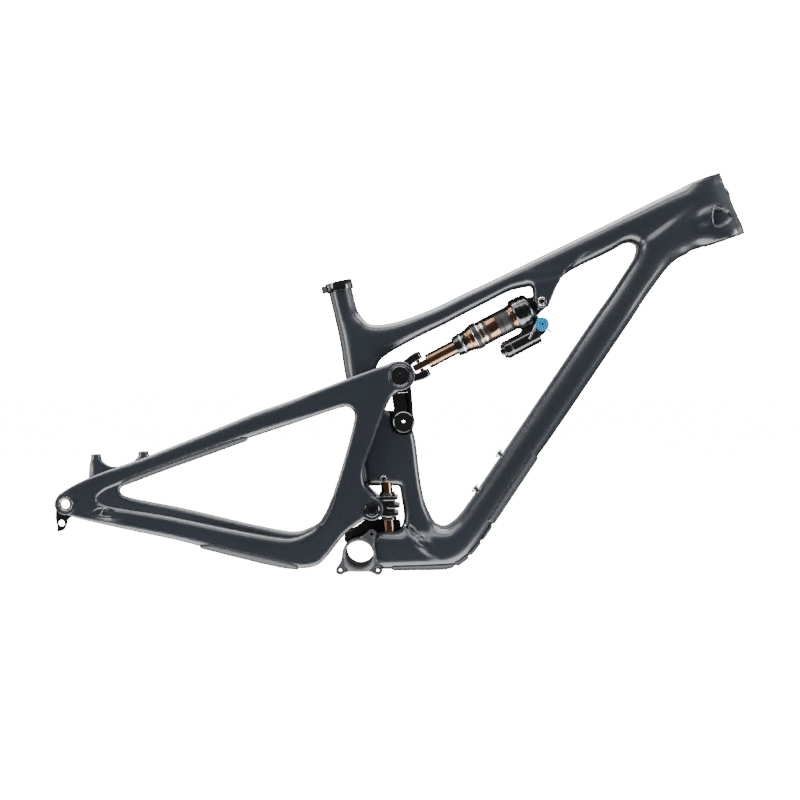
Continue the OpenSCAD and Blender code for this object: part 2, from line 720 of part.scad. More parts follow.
// ---- Compression lever ----
lever_y = -20;
module compression_lever() color(blue) at_shock() translate([-16, lever_y - body_gap, -30]) {
    along_y(10.5, -5, 0);
    rotate([0, 118, 0]) translate([0, -4.5, -3]) cube([17, 4, 6]);
}

head_tube();
top_tube();
down_tube();
seat_tube();
lower_seat_tube();
bb_shell();
shock_mount_ears();
seat_collar();
seat_collar_bolt();
head_badge();
head_cable_ports();
lower_cable_ports();
bottle_bosses();
chain_guide_inserts();
down_tube_guard();
lower_guard_segments();
shock_mount_bolt();
slider_rails();
rail_holder();
rail_bolts();
rocker_axle();
rocker_caps();
slider_block();
slider_wipers();
slider_bushings();
main_pivot_bearings();
upright_right();
upright_left();
seatstay_right();
seatstay_left();
chainstay_right();
chainstay_left();
dropout_right();
dropout_left();
swingarm_bridge();
dropout_inserts();
derailleur_hanger();
hanger_screw();
brake_mount();
brake_mount_inserts();
chainstay_guards();
seatstay_guard();
chainstay_cable_ports();
main_pivot_axle();
upper_pivot_pins();
upper_pivot_bearings();
upper_pivot_caps();
rocker_link();
rocker_bearings();
shock_head();
air_can();
seal_head();
reservoir();
shock_eyelet_bushing();
air_valve_cap();
shock_shaft();
shock_piston();
shock_yoke();
yoke_bolts();
compression_lever();
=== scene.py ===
import json
import math
from functools import reduce

import bmesh
import bpy
import numpy as np
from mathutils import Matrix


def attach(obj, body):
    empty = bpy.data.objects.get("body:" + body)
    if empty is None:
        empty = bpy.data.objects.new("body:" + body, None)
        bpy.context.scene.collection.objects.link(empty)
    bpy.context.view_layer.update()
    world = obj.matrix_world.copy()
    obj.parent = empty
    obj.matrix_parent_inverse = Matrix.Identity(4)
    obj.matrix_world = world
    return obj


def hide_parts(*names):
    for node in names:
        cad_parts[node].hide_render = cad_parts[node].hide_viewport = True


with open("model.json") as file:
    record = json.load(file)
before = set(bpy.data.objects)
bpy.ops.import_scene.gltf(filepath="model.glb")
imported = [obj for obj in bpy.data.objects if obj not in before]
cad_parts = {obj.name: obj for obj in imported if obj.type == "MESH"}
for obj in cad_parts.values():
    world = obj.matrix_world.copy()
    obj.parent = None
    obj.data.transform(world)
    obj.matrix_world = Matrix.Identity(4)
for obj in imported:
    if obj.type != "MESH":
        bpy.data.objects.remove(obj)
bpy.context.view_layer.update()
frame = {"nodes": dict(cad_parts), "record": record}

import openvdb
from mathutils import Vector

NODES = frame["nodes"]

# ---- key places, in millimetres
# places are (x, z) in the middle plane, and a side's distance from it is given where it is used
BB_R = 24.5
MAIN = (19.0, 67.5)
ROCKER = (65.5, 196.5)
UPPER = (60.5, 265.0)
SHOCK = (273.0, 376.5)
AXLE = (-424.0, 79.0)
HEAD_TOP = (518.4, 562.7)
SEAT_TOP = (-32.0, 403.3)
HEAD_ANGLE = math.radians(71.2)
SEAT_ANGLE = math.radians(76.7)
HEAD_DIR = (math.cos(HEAD_ANGLE), -math.sin(HEAD_ANGLE))
SEAT_DIR = (math.cos(SEAT_ANGLE), -math.sin(SEAT_ANGLE))
HEAD_LEN = 98.0
HEAD_GAP = 1.2    # how far the shell stops short of the head tube's ends
SEAT_GAP = 6.0    # and of the seat tube's top
GUIDE = (59.2, 219.2, 320.0)    # directions of the chain guide holes, in degrees
GUIDE_R = 36.0
RAIL_Y = 14
RAIL_SIDES = (-RAIL_Y, RAIL_Y)
SHOCK_U = Vector((SHOCK[0] - UPPER[0], SHOCK[1] - UPPER[1])).normalized()
BACK = (-SHOCK_U.x, 0, -SHOCK_U.y)
SHOCK_UP = (-SHOCK_U.y, 0, SHOCK_U.x)
OUT_R = (0, -1, 0)


def guide_hole(angle):
    """The place of a chain guide hole, and the cosine and sine of its direction."""
    c, s = math.cos(math.radians(angle)), math.sin(math.radians(angle))
    return (GUIDE_R * c, GUIDE_R * s), c, s


def rail_x(z):
    """Where the centre line of the rails lies at a height."""
    return 45 - 5 * (z - 33) / 67.5


def at(p, y=0.0):
    """A place of the middle plane as a point, y to the side."""
    return (p[0], y, p[1])


def shock_point(t, side=0.0, up=0.0):
    """A point of the shock: t behind the front bolt, and up across its axis in the middle plane."""
    return (SHOCK[0] - SHOCK_U.x * t - SHOCK_U.y * up, side, SHOCK[1] - SHOCK_U.y * t + SHOCK_U.x * up)


# ---- materials
def material(name, color, rough, metal=0.0, coat=0.0, coat_rough=0.1, spec=0.5, grain=0.0, grain_scale=400.0,
             rough_spread=0.06, color_spread=0.12, patch_scale=9.0):
    """A principled material with cloudy colour and roughness variation and a fine surface grain."""
    m = bpy.data.materials.new(name)
    m.use_nodes = True
    nt = m.node_tree
    b = nt.nodes["Principled BSDF"]
    b.inputs["Metallic"].default_value = metal
    b.inputs["Coat Weight"].default_value = coat
    b.inputs["Coat Roughness"].default_value = coat_rough
    b.inputs["Specular IOR Level"].default_value = spec
    tc = nt.nodes.new("ShaderNodeTexCoord")
    patch = nt.nodes.new("ShaderNodeTexNoise")
    patch.inputs["Scale"].default_value = patch_scale
    patch.inputs["Detail"].default_value = 5.0
    nt.links.new(tc.outputs["Object"], patch.inputs["Vector"])
    ramp = nt.nodes.new("ShaderNodeMix")
    ramp.data_type = "RGBA"
    lo = [max(0.0, c * (1 - color_spread)) for c in color] + [1]
    hi = [min(1.0, c * (1 + color_spread)) for c in color] + [1]
    ramp.inputs[6].default_value = lo
    ramp.inputs[7].default_value = hi
    nt.links.new(patch.outputs["Fac"], ramp.inputs[0])
    nt.links.new(ramp.outputs[2], b.inputs["Base Color"])
    rr = nt.nodes.new("ShaderNodeMapRange")
    rr.inputs["To Min"].default_value = max(0.02, rough - rough_spread)
    rr.inputs["To Max"].default_value = rough + rough_spread
    nt.links.new(patch.outputs["Fac"], rr.inputs["Value"])
    nt.links.new(rr.outputs["Result"], b.inputs["Roughness"])
    if grain:
        fine = nt.nodes.new("ShaderNodeTexNoise")
        fine.inputs["Scale"].default_value = grain_scale
        fine.inputs["Detail"].default_value = 3.0
        nt.links.new(tc.outputs["Object"], fine.inputs["Vector"])
        bump = nt.nodes.new("ShaderNodeBump")
        bump.inputs["Strength"].default_value = grain
        bump.inputs["Distance"].default_value = 0.0004
        nt.links.new(fine.outputs["Fac"], bump.inputs["Height"])
        nt.links.new(bump.outputs["Normal"], b.inputs["Normal"])
    return m


CARBON = material("satin_carbon", (0.020, 0.025, 0.033), 0.34, 0.0, 0.5, 0.18, 0.5, 0.03, 900.0, 0.03, 0.10)
SHELL_GREY = material("painted_shell", (0.050, 0.054, 0.060), 0.36, 0.0, 0.3, 0.2, 0.5, 0.05, 900.0, 0.04,
    0.10)
DARK_METAL = material("dark_anodised", (0.085, 0.085, 0.09), 0.22, 1.0, 0.3, 0.1, 0.5, 0.03, 1100.0, 0.05)
BLACK = material("gloss_black", (0.008, 0.008, 0.009), 0.16, 0.0, 0.6, 0.06, 0.6, 0.03, 700.0, 0.03)
MATT_BLACK = material("matt_black", (0.012, 0.012, 0.013), 0.48, 0.0, 0.0, 0.1, 0.5, 0.08, 900.0)
BRONZE = material("bronze", (0.27, 0.155, 0.095), 0.22, 1.0, 0.0, 0.1, 0.5, 0.03, 1200.0, 0.05, 0.14)
SILVER = material("machined_silver", (0.62, 0.63, 0.65), 0.27, 1.0, 0.0, 0.1, 0.5, 0.05, 1500.0, 0.06)
GUNMETAL = material("gunmetal", (0.20, 0.21, 0.225), 0.34, 1.0, 0.0, 0.1, 0.5, 0.05, 1100.0, 0.05)
RUBBER = material("ribbed_rubber", (0.026, 0.029, 0.034), 0.50, 0.0, 0.0, 0.1, 0.45, 0.05, 1300.0, 0.04)
BORE_GREY = material("bare_bore", (0.17, 0.175, 0.185), 0.60, 0.0, 0.0, 0.1, 0.12, 0.06, 900.0, 0.05)
BLUE = material("blue_anodised", (0.03, 0.40, 0.78), 0.24, 0.45, 0.3, 0.1, 0.5, 0.03, 900.0)
DECAL = material("plain_decal", (0.055, 0.055, 0.058), 0.35, 0.2, 0.3, 0.1, 0.5, 0.02, 900.0)


# ---- mesh helpers
def add_object(name, data):
    """A new object in the scene."""
    o = bpy.data.objects.new(name, data)
    bpy.context.scene.collection.objects.link(o)
    return o


def make(name, verts, faces, mat, body, replaces=(), sharp=32, face_mats=None):
    """A smooth shaded mesh object from points in millimetres, with edges over an angle kept sharp."""
    me = bpy.data.meshes.new(name)
    me.from_pydata([tuple(c * 0.001 for c in v) for v in verts], [], [tuple(f) for f in faces])
    mats = mat if isinstance(mat, (list, tuple)) else [mat]
    for m in mats:
        me.materials.append(m)
    if face_mats is not None:
        me.polygons.foreach_set("material_index", face_mats)
    bm = bmesh.new()
    bm.from_mesh(me)
    bmesh.ops.recalc_face_normals(bm, faces=bm.faces)
    limit = math.radians(sharp)
    for f in bm.faces:
        f.smooth = True
    for e in bm.edges:
        if len(e.link_faces) == 2 and e.calc_face_angle(0) > limit:
            e.smooth = False
    bm.to_mesh(me)
    bm.free()
    o = add_object(name, me)
    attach(o, body)
    if replaces:
        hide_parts(*replaces)
    return o


def frame_for(axis):
    """An axis as a unit vector, and two unit vectors across it."""
    a = Vector(axis).normalized()
    ref = Vector((0, 1, 0)) if abs(a.y) < 0.9 else Vector((0, 0, 1))
    u = a.cross(ref).normalized()
    return a, u, a.cross(u).normalized()


def mirrored(verts, faces):
    """Points and faces, followed by their copies on the other side."""
    n = len(verts)
    return (verts + [Vector((p[0], -p[1], p[2])) for p in verts],
            faces + [tuple(i + n for i in f) for f in faces])


def lathe_data(profile, origin, axis, seg=72):
    """Points and faces of a profile [(along, radius)] turned about an axis, and how far along each face lies.

    The profile is a closed loop if it ends where it starts.
    """
    a, u, v = frame_for(axis)
    o = Vector(origin)
    closed = profile[0] == profile[-1]
    pts = profile[:-1] if closed else profile
    verts, rings = [], []
    for t, r in pts:
        if r <= 1e-6:
            rings.append([len(verts)])
            verts.append(o + a * t)
        else:
            rings.append(list(range(len(verts), len(verts) + seg)))
            for i in range(seg):
                w = 2 * math.pi * i / seg
                verts.append(o + a * t + u * (r * math.cos(w)) + v * (r * math.sin(w)))
    faces, along = [], []
    pairs = [(i, i + 1) for i in range(len(rings) - 1)] + ([(len(rings) - 1, 0)] if closed else [])
    for i, j in pairs:
        p, q = rings[i], rings[j]
        mid = (pts[i][0] + pts[j][0]) / 2
        for k in range(seg):
            k2 = (k + 1) % seg
            if len(p) == 1 and len(q) == 1:
                continue
            if len(p) == 1:
                f = (p[0], q[k2], q[k])
            elif len(q) == 1:
                f = (p[k], p[k2], q[0])
            else:
                f = (p[k], p[k2], q[k2], q[k])
            faces.append(f)
            along.append(mid)
    return verts, faces, along


def lathe(name, profile, origin, axis, mat, body, replaces=(), seg=72, bands=None, mirror=False,
          sharp=32):
    """A turned piece. bands is [(start, end, material index)]; mirror adds its copy on the other side."""
    verts, faces, along = lathe_data(profile, origin, axis, seg)
    idx = []
    for m in along:
        k = 0
        for s, e, i in bands or ():
            if s <= m < e:
                k = i
        idx.append(k)
    if mirror:
        verts, faces = mirrored(verts, faces)
        idx = idx + idx
    return make(name, verts, faces, mat, body, replaces, sharp, idx)


def wire(name, points, r, mat, body, replaces=(), mirror=False):
    """A round bar swept along points, with closed ends."""
    n, verts, faces = 10, [], []
    pts = [Vector(p) for p in points]
    for i, p in enumerate(pts):
        _, u, v = frame_for(pts[min(i + 1, len(pts) - 1)] - pts[max(i - 1, 0)])
        for k in range(n):
            w = 2 * math.pi * k / n
            verts.append(p + u * (r * math.cos(w)) + v * (r * math.sin(w)))
    for i in range(len(pts) - 1):
        for k in range(n):
            faces.append((i * n + k, i * n + (k + 1) % n, (i + 1) * n + (k + 1) % n, (i + 1) * n + k))
    faces += [tuple(range(n)), tuple(range((len(pts) - 1) * n, len(pts) * n))]
    if mirror:
        verts, faces = mirrored(verts, faces)
    return make(name, verts, faces, mat, body, replaces, 40)


# ---- solid fields
def smooth_loop(points, times=2):
    """Rounds a closed outline by cutting its corners."""
    p = np.array(points, float)
    for _ in range(times):
        q = np.roll(p, -1, axis=0)
        p = np.stack([0.78 * p + 0.22 * q, 0.22 * p + 0.78 * q], axis=1).reshape(-1, 2)
    return p


def inside_distance(points, X, Z, times=2):
    """Distance to a closed outline, positive inside."""
    p = smooth_loop(points, times)
    q = np.roll(p, -1, axis=0)
    best = np.full(X.shape, 1e9)
    odd = np.zeros(X.shape, bool)
    for (x0, z0), (x1, z1) in zip(p, q):
        dx, dz = x1 - x0, z1 - z0
        t = np.clip(((X - x0) * dx + (Z - z0) * dz) / max(dx * dx + dz * dz, 1e-9), 0, 1)
        best = np.minimum(best, (X - x0 - t * dx) ** 2 + (Z - z0 - t * dz) ** 2)
        if z0 != z1:
            cross = ((z0 > Z) != (z1 > Z)) & (X < dx * (Z - z0) / dz + x0)
            odd ^= cross
    d = np.sqrt(best)
    return np.where(odd, d, -d)


def along_lines(lines, X, Z):
    """Values carried by nearby centre lines [(x, z, value, ...)], blended by how close each line is."""
    total, out = 0.0, None
    for line in lines:
        p = np.array(line, float)
        best = np.full(X.shape, 1e9)
        vals = np.zeros(X.shape + (p.shape[1] - 2,))
        for a, b in zip(p[:-1], p[1:]):
            d = b[:2] - a[:2]
            t = np.clip(((X - a[0]) * d[0] + (Z - a[1]) * d[1]) / (d @ d), 0, 1)
            dist = np.hypot(X - a[0] - t * d[0], Z - a[1] - t * d[1])
            near = dist < best
            best = np.where(near, dist, best)
            vals = np.where(near[..., None], a[2:] + t[..., None] * (b[2:] - a[2:]), vals)
        w = 1.0 / (best ** 3 + 60.0)
        total = total + w
        out = vals * w[..., None] if out is None else out + vals * w[..., None]
    out = out / total[..., None]
    return [out[..., i] for i in range(out.shape[-1])]


def blur(a, times):
    """Evens out a map."""
    for _ in range(times):
        for ax in (0, 1):
            a = (np.roll(a, 1, ax) + np.roll(a, -1, ax) + 2 * a) / 4
    return a


def puffed(d, half, centre, edge, edge_y, Y, power=2.0):
    """The field of an outline thickened to half its width, with rounded edges. Negative inside."""
    a = np.clip((edge - d) / edge, 0, None)[:, None, :]
    b = np.clip((np.abs(Y - centre[:, None, :]) - (half - edge_y)[:, None, :]) / edge_y[:, None, :], 0, None)
    q = (a ** power + b ** power) ** (1 / power)
    return (q - 1) * np.minimum(edge, edge_y)[:, None, :]


def smin(a, b, k):
    """Two fields joined, with a fillet of about k where they meet."""
    h = np.clip(0.5 + 0.5 * (b - a) / k, 0, 1)
    return b * (1 - h) + a * h - k * h * (1 - h)


def ellipsoid(g, place, turn, radii, y):
    """A tilted ellipsoid, below nought inside. turn is (cosine, sine); y is the distance from its middle."""
    c, s = turn
    a, b = g.X - place[0], g.Z - place[1]
    q = np.sqrt(((a * c + b * s) / radii[0]) ** 2 + ((b * c - a * s) / radii[1]) ** 2 + (y / radii[2]) ** 2)
    return q - 1


def overlap(*fields):
    """Where all the fields are inside."""
    return reduce(np.maximum, fields)


def carve(f, *fields):
    """A field without what lies inside all the others."""
    return np.maximum(f, -overlap(*fields))


def across(g, p, angle):
    """Distance along a direction in the middle plane from a point."""
    c, s = math.cos(math.radians(angle)), math.sin(math.radians(angle))
    return (g.X - p[0]) * c + (g.Z - p[1]) * s


def slab(g, d, y0, y1, r):
    """An outline, given by its inside distance, from y0 to y1 with edges rounded to r."""
    a = r - d[:, None, :]
    b = np.abs(g.Y - (y0 + y1) / 2) - (y1 - y0) / 2 + r
    return np.minimum(overlap(a, b), 0) + np.sqrt(np.maximum(a, 0) ** 2 + np.maximum(b, 0) ** 2) - r


def recess(f, d, depth):
    """Sinks the surface inside an outline to a depth."""
    return carve(f, -d[:, None, :], -(f + depth))


class Grid:
    """A block of space sampled evenly."""

    def __init__(self, lo, hi, step):
        self.step = step
        self.lo = lo
        n = [int(math.ceil((h - l) / step)) + 1 for l, h in zip(lo, hi)]
        self.x = lo[0] + step * np.arange(n[0])
        self.y = lo[1] + step * np.arange(n[1])
        self.z = lo[2] + step * np.arange(n[2])
        self.X2, self.Z2 = np.meshgrid(self.x, self.z, indexing="ij")
        self.X = self.x[:, None, None]
        self.Y = self.y[None, :, None]
        self.Z = self.z[None, None, :]

    def round_y(self, p, r):
        """A cylinder along Y."""
        return np.hypot(self.X - p[0], self.Z - p[1]) - r

    def axis_of(self, p, d):
        """(distance along, distance from) an axis in the middle plane."""
        t = (self.X - p[0]) * d[0] + (self.Z - p[1]) * d[1]
        s = (self.X - p[0]) * -d[1] + (self.Z - p[1]) * d[0]
        return t + 0 * self.Y, np.sqrt(s ** 2 + self.Y ** 2)

    def mesh(self, field, name, mat, body, slot, replaces=(), rounds=4, sharp=60, keep=None):
        """The surface where a field is nought, evened out in rounds. keep picks faces by their middles."""
        reach = 3 * self.step
        volume = openvdb.FloatGrid()
        volume.background = reach
        volume.copyFromArray(np.ascontiguousarray(np.clip(field, -reach, reach).astype(np.float32)))
        points, quads = volume.convertToQuads(0.0)
        points = np.asarray(points, float) * self.step + np.array(self.lo)
        quads = np.asarray(quads, np.int64)
        edges = np.concatenate([quads[:, [0, 1]], quads[:, [1, 2]], quads[:, [2, 3]], quads[:, [3, 0]]])
        edges = np.unique(np.sort(edges, axis=1), axis=0)
        count = np.bincount(edges.ravel(), minlength=len(points)).astype(float)[:, None]
        for _ in range(rounds):
            for pull in (0.5, -0.53):
                total = np.zeros_like(points)
                np.add.at(total, edges[:, 0], points[edges[:, 1]])
                np.add.at(total, edges[:, 1], points[edges[:, 0]])
                points = points + pull * (total / count - points)
        if keep is not None:
            quads = quads[keep(points[quads].mean(axis=1))]
        return make(name, points.tolist(), quads.tolist(), mat, body, replaces, sharp)


# ---- front triangle
FRONT_OUT = [
    (-1, 351), (13, 343), (30, 342), (57, 347), (83, 356), (118, 370), (151, 387), (199, 409), (302, 460),
    (356, 486), (410, 513), (463, 539), (494, 553), (508, 556), (521, 549), (531, 527), (541, 495),
    (546, 478),
    (535, 466), (521, 461), (507, 457), (494, 449), (480, 443), (466, 432), (453, 416), (439, 397),
    (427, 380),
    (408, 350), (284, 168), (266, 144), (200, 45), (182, 19), (163, -5), (147, -17), (134, -21), (121, -23),
    (48, -23), (14, -23), (12, 0), (14, 25), (24, 27), (26, 33), (61, 33), (66, 45), (66, 63), (62, 84),
    (60, 100.5), (52, 100.5), (16, 100.5), (9, 100.5), (8, 107), (-7, 200), (-16, 262), (-18, 285),
    (-14, 320), (-11, 345)
]
TRIANGLE = [
    (21, 276), (31, 290), (44, 300), (65, 312), (100, 330), (126, 342), (152, 356), (191, 376), (214, 388),
    (229, 395), (253, 400), (276, 404), (302, 408), (310, 416), (329, 428), (356, 442), (383, 456),
    (398, 465),
    (408, 467), (417, 463), (418, 455), (414, 442), (396, 415), (376, 384), (352, 351), (229, 168),
    (212, 143),
    (178, 93), (151, 54), (137, 42), (130, 38), (122, 38), (113, 43), (106, 55), (97, 76), (92, 101),
    (88, 131),
    (84, 168), (78, 190), (66, 205), (56, 213), (36, 213), (30, 222), (22, 245), (18, 262)
]
EAR = [(244, 420), (258, 405), (262, 397), (262, 378), (264, 370), (273, 364), (283, 369), (288, 382),
       (297, 404),
       (312, 424)]
# centre lines: x, z, half width, edge rounding in the plane, edge rounding across
TOP_LINE = [(4, 306, 18, 18, 12), (44, 322, 19, 17, 13), (100, 346, 20, 14, 14), (199, 394, 21, 13, 14),
    (255, 420, 21.5, 14, 14), (310, 440, 22, 16, 14), (400, 486, 23, 17, 15), (480, 522, 25, 20, 16),
    (525, 537, 26, 22, 18)]
DOWN_LINE = [(546, 505, 29, 24, 20), (500, 480, 27, 24, 19), (450, 449, 26.5, 23, 18),
    (392, 368, 28.5, 21, 18), (256, 168, 31, 21, 18), (188, 67, 34, 21, 18), (146, 13, 37, 20, 18),
    (110, 5, 39, 18, 18), (20, 1, 39.5, 14, 14)]
SEAT_LINE = [(14, 300, 18, 14, 12), (20, 262, 20, 12, 10), (40, 215, 24, 12, 9), (62, 150, 24, 12, 10),
    (76, 90, 24, 12, 10), (92, 50, 27, 14, 12)]


def front_field(g):
    """The front triangle's tubes as one moulding, before anything is cut into it."""
    d = np.minimum(inside_distance(FRONT_OUT, g.X2, g.Z2), -inside_distance(TRIANGLE, g.X2, g.Z2))
    half, edge, edge_y = along_lines([TOP_LINE, DOWN_LINE, SEAT_LINE], g.X2, g.Z2)
    half, edge, edge_y = blur(half, 6), blur(edge, 6), blur(edge_y, 6)
    # the down tube's side stands proud of the top tube's where they meet
    u = (g.X2 - 421) * 0.60 - (g.Z2 - 462) * 0.80
    rise = np.clip((u + 6) / 12, 0, 1)
    rise = rise * rise * (3 - 2 * rise) * np.clip((42 - u) / 26, 0, 1)
    half = half + 3.4 * rise * np.clip((512 - g.X2) / 50, 0, 1) * np.clip((g.X2 - 396) / 25, 0, 1)
    deep = np.clip((d - 7) / 6, 0, 1)
    d = d * (1 - deep) + blur(d, 12) * deep
    f = puffed(d, half, np.zeros_like(half), edge, edge_y, g.Y)
    f = add_seat_tube(g, f)
    f = add_head_tube(g, f)
    f = add_shock_ears(g, f)
    # raised fairings of the cable ports on the head tube, and of the scoops by the bottom bracket
    side = np.abs(g.Y)
    f = smin(f, ellipsoid(g, (520, 503), (0.87, 0.5), (21, 12, 8.5), side - 25) * 8, 5)
    return smin(f, ellipsoid(g, (96, 14), (0.78, -0.62), (26, 9, 8), side - 34) * 8, 5)


def add_seat_tube(g, f):
    """The round seat tube, cut off flat at its top."""
    t, r = g.axis_of(SEAT_TOP, SEAT_DIR)
    f = smin(f, overlap(r - 17.8, SEAT_GAP - t, t - 150), 18)
    return overlap(f, SEAT_GAP - t - np.where(r < 40, 0, 1e3))


def add_head_tube(g, f):
    """The head tube over its full length, wider at the lower seat."""
    t, r = g.axis_of(HEAD_TOP, HEAD_DIR)
    radius = np.interp(t, [0, 10, 16, 58.8, 88, 98], [25.5, 26.1, 26.0, 29.2, 32.1, 31.5])
    past_ends = overlap(HEAD_GAP - t, t - (HEAD_LEN - HEAD_GAP))
    f = smin(f, overlap(r - radius, past_ends), 16)
    return np.where(r < 60, overlap(f, past_ends), f)


def add_shock_ears(g, f):
    """The ears of the front shock mount, blended into the top tube, and the gap between them."""
    de = inside_distance(EAR, g.X2, g.Z2)
    one = np.ones_like(de)
    ear = puffed(de, 4.1 * one, 0 * one, 3.2 * one, 2.6 * one, np.abs(g.Y) - 15.4)
    f = smin(f, ear, 7)
    gap = overlap(np.abs(g.Y) - 11.25, g.round_y(SHOCK, 40))
    return carve(f, gap, g.Z - 398 - 0.2 * (g.X - 262))


HEAD_PORT = [(527, 517), (525, 503), (528, 490), (534, 487), (546, 493), (558, 502), (550, 508), (538, 514)]
LOW_PORT = [(66, 42), (74, 45), (90, 31), (104, 12), (112, 2), (100, 8), (84, 20), (70, 32)]
# the stepped flank under the top tube
FLANK = [(299, 408), (308, 421), (317, 431), (334, 446.7), (351, 456.8), (364, 462.5), (374, 462), (374, 438),
    (330, 412), (300, 396)]


def cut_ports(g, f):
    """Pockets of the cable ports, deep behind and running out to the front, and the stepped flank."""
    f = recess(f, inside_distance(HEAD_PORT, g.X2, g.Z2), np.interp(g.X, [526, 561], [7, 0.8]))
    f = recess(f, inside_distance(LOW_PORT, g.X2, g.Z2), np.interp(g.X, [66, 112], [5.5, 0.8]))
    return recess(f, inside_distance(FLANK, g.X2, g.Z2, 1), np.interp(g.X, [300, 335, 366], [2.4, 1.6, 0.1]))


def cut_guide_lugs(g, f):
    """Room for the drive side's chain guide lugs, and for their arms up to the shell."""
    for angle in GUIDE:
        place, c, s = guide_hole(angle)
        f = carve(f, g.round_y(place, 7.3), g.Y + 30.8)
        u, v = g.X * c + g.Z * s, -g.X * s + g.Z * c
        arm = overlap(np.abs(v) - 5.3, np.abs(u - GUIDE_R / 2) - GUIDE_R / 2)
        f = carve(f, arm, g.Y + 31.5)
    return f


def cut_rocker_pockets(g, f):
    """Pockets of the rocker link on both sides of a web with its pivot's boss."""
    side = np.abs(g.Y)
    web = overlap(g.round_y(ROCKER, 17), side - 13.7)
    up_slot = overlap(45.5 - g.X, g.X - 96, ROCKER[1] - g.Z, g.Z - 237)
    pocket = overlap(np.minimum(g.round_y(ROCKER, 19), up_slot), 13.4 - side)
    f = np.minimum(carve(f, pocket), web)
    return carve(f, g.round_y(ROCKER, 6.0))


def cut_rails(g, f):
    """Bores for the two rails of the sliding pivot."""
    for side in RAIL_SIDES:
        foot, top = np.array((45.0, side, 28.0)), np.array((39.6, side, 105.6))
        axis = (top - foot) / np.linalg.norm(top - foot)
        x, y, z = g.X - foot[0], g.Y - foot[1], g.Z - foot[2]
        t = x * axis[0] + y * axis[1] + z * axis[2]
        r = np.sqrt(np.maximum(x ** 2 + y ** 2 + z ** 2 - t ** 2, 0))
        f = carve(f, r - 8.6, -t, t - 78)
    return f


def cut_front(g, f):
    """Everything that is cut into the front triangle."""
    f = cut_ports(g, f)
    f = overlap(f, BB_R + 0.2 - np.hypot(g.X, g.Z))
    f = carve(f, g.round_y(SHOCK, 4.2))
    f = cut_guide_lugs(g, f)
    f = cut_rocker_pockets(g, f)
    return cut_rails(g, f)


def open_ends(p):
    """Leaves out the shell's flat lids inside the head tube and the seat tube, whose bores are CAD pieces."""
    keep = np.ones(len(p), bool)
    lids = ((HEAD_TOP, HEAD_DIR, HEAD_GAP, 24.5), (HEAD_TOP, HEAD_DIR, HEAD_LEN - HEAD_GAP, 30.5),
            (SEAT_TOP, SEAT_DIR, SEAT_GAP, 17.0))
    for top, axis, end, r_max in lids:
        x, z = p[:, 0] - top[0], p[:, 2] - top[1]
        t = x * axis[0] + z * axis[1]
        r = np.hypot(-x * axis[1] + z * axis[0], p[:, 1])
        keep &= ~((np.abs(t - end) < 0.7) & (r < r_max))
    return keep


front_grid = Grid((-64, -50, -36), (596, 50, 590), 2.1)
front_plain = front_field(front_grid)
front_grid.mesh(cut_front(front_grid, front_plain), "front_triangle_shell", CARBON, "front_triangle",
    "carbon", ("top_tube", "down_tube", "lower_seat_tube", "shock_mount_ears"), keep=open_ends)


# ---- swingarm
ARM_OUT = [
    (38, 281), (50, 286.5), (61, 287), (72, 284), (80, 276), (82.5, 265), (80, 255), (75, 249), (59, 242),
    (48, 235),
    (42, 225), (35, 208), (23, 173), (10, 139), (5, 121), (6, 110), (8, 103), (13, 96), (23, 87), (31, 81),
    (36, 72),
    (35, 63), (29, 58), (11, 53), (5, 50), (-7, 42), (-18, 33), (-27, 24), (-41, 5), (-57, -13), (-67, -17),
    (-82, -20), (-110, -16), (-136, -10), (-189, 4), (-230, 15), (-270, 26), (-315, 36), (-359, 46),
    (-404, 57),
    (-420, 62), (-433, 66), (-439, 74), (-440, 84), (-436, 91), (-429, 97), (-414, 106), (-392, 117),
    (-367, 127),
    (-344, 135), (-315, 145), (-278, 160), (-248, 172), (-189, 196), (-154, 211), (-101, 229), (-68, 242),
    (-13, 263), (22, 276)
]
ARM_HOLE = [
    (-380, 88), (-366, 99), (-340, 108), (-288, 128), (-201, 159), (-166, 172), (-101, 193), (-24, 220),
    (-13, 218),
    (-7, 211), (-7, 200), (-18, 156), (-39, 87), (-48, 66), (-57, 50), (-66, 38), (-92, 26), (-110, 25),
    (-171, 36),
    (-260, 56), (-288, 62), (-353, 73), (-376, 79)
]
# along the stays: x, then the middles' distances from the middle plane and half thicknesses
STAY_X = [-440, -392, -340, -248, -154, -60, -30, 90]
SEAT_Y = [79, 78, 72, 61, 49, 37.5, 36, 36]
CHAIN_Y = [79, 78.5, 74, 63, 52, 40, 36, 36]
SEAT_T = [5, 6, 7.5, 8.5, 9, 8.5, 8, 8]
CHAIN_T = [5, 5.5, 7, 9, 10, 9.5, 8, 8]


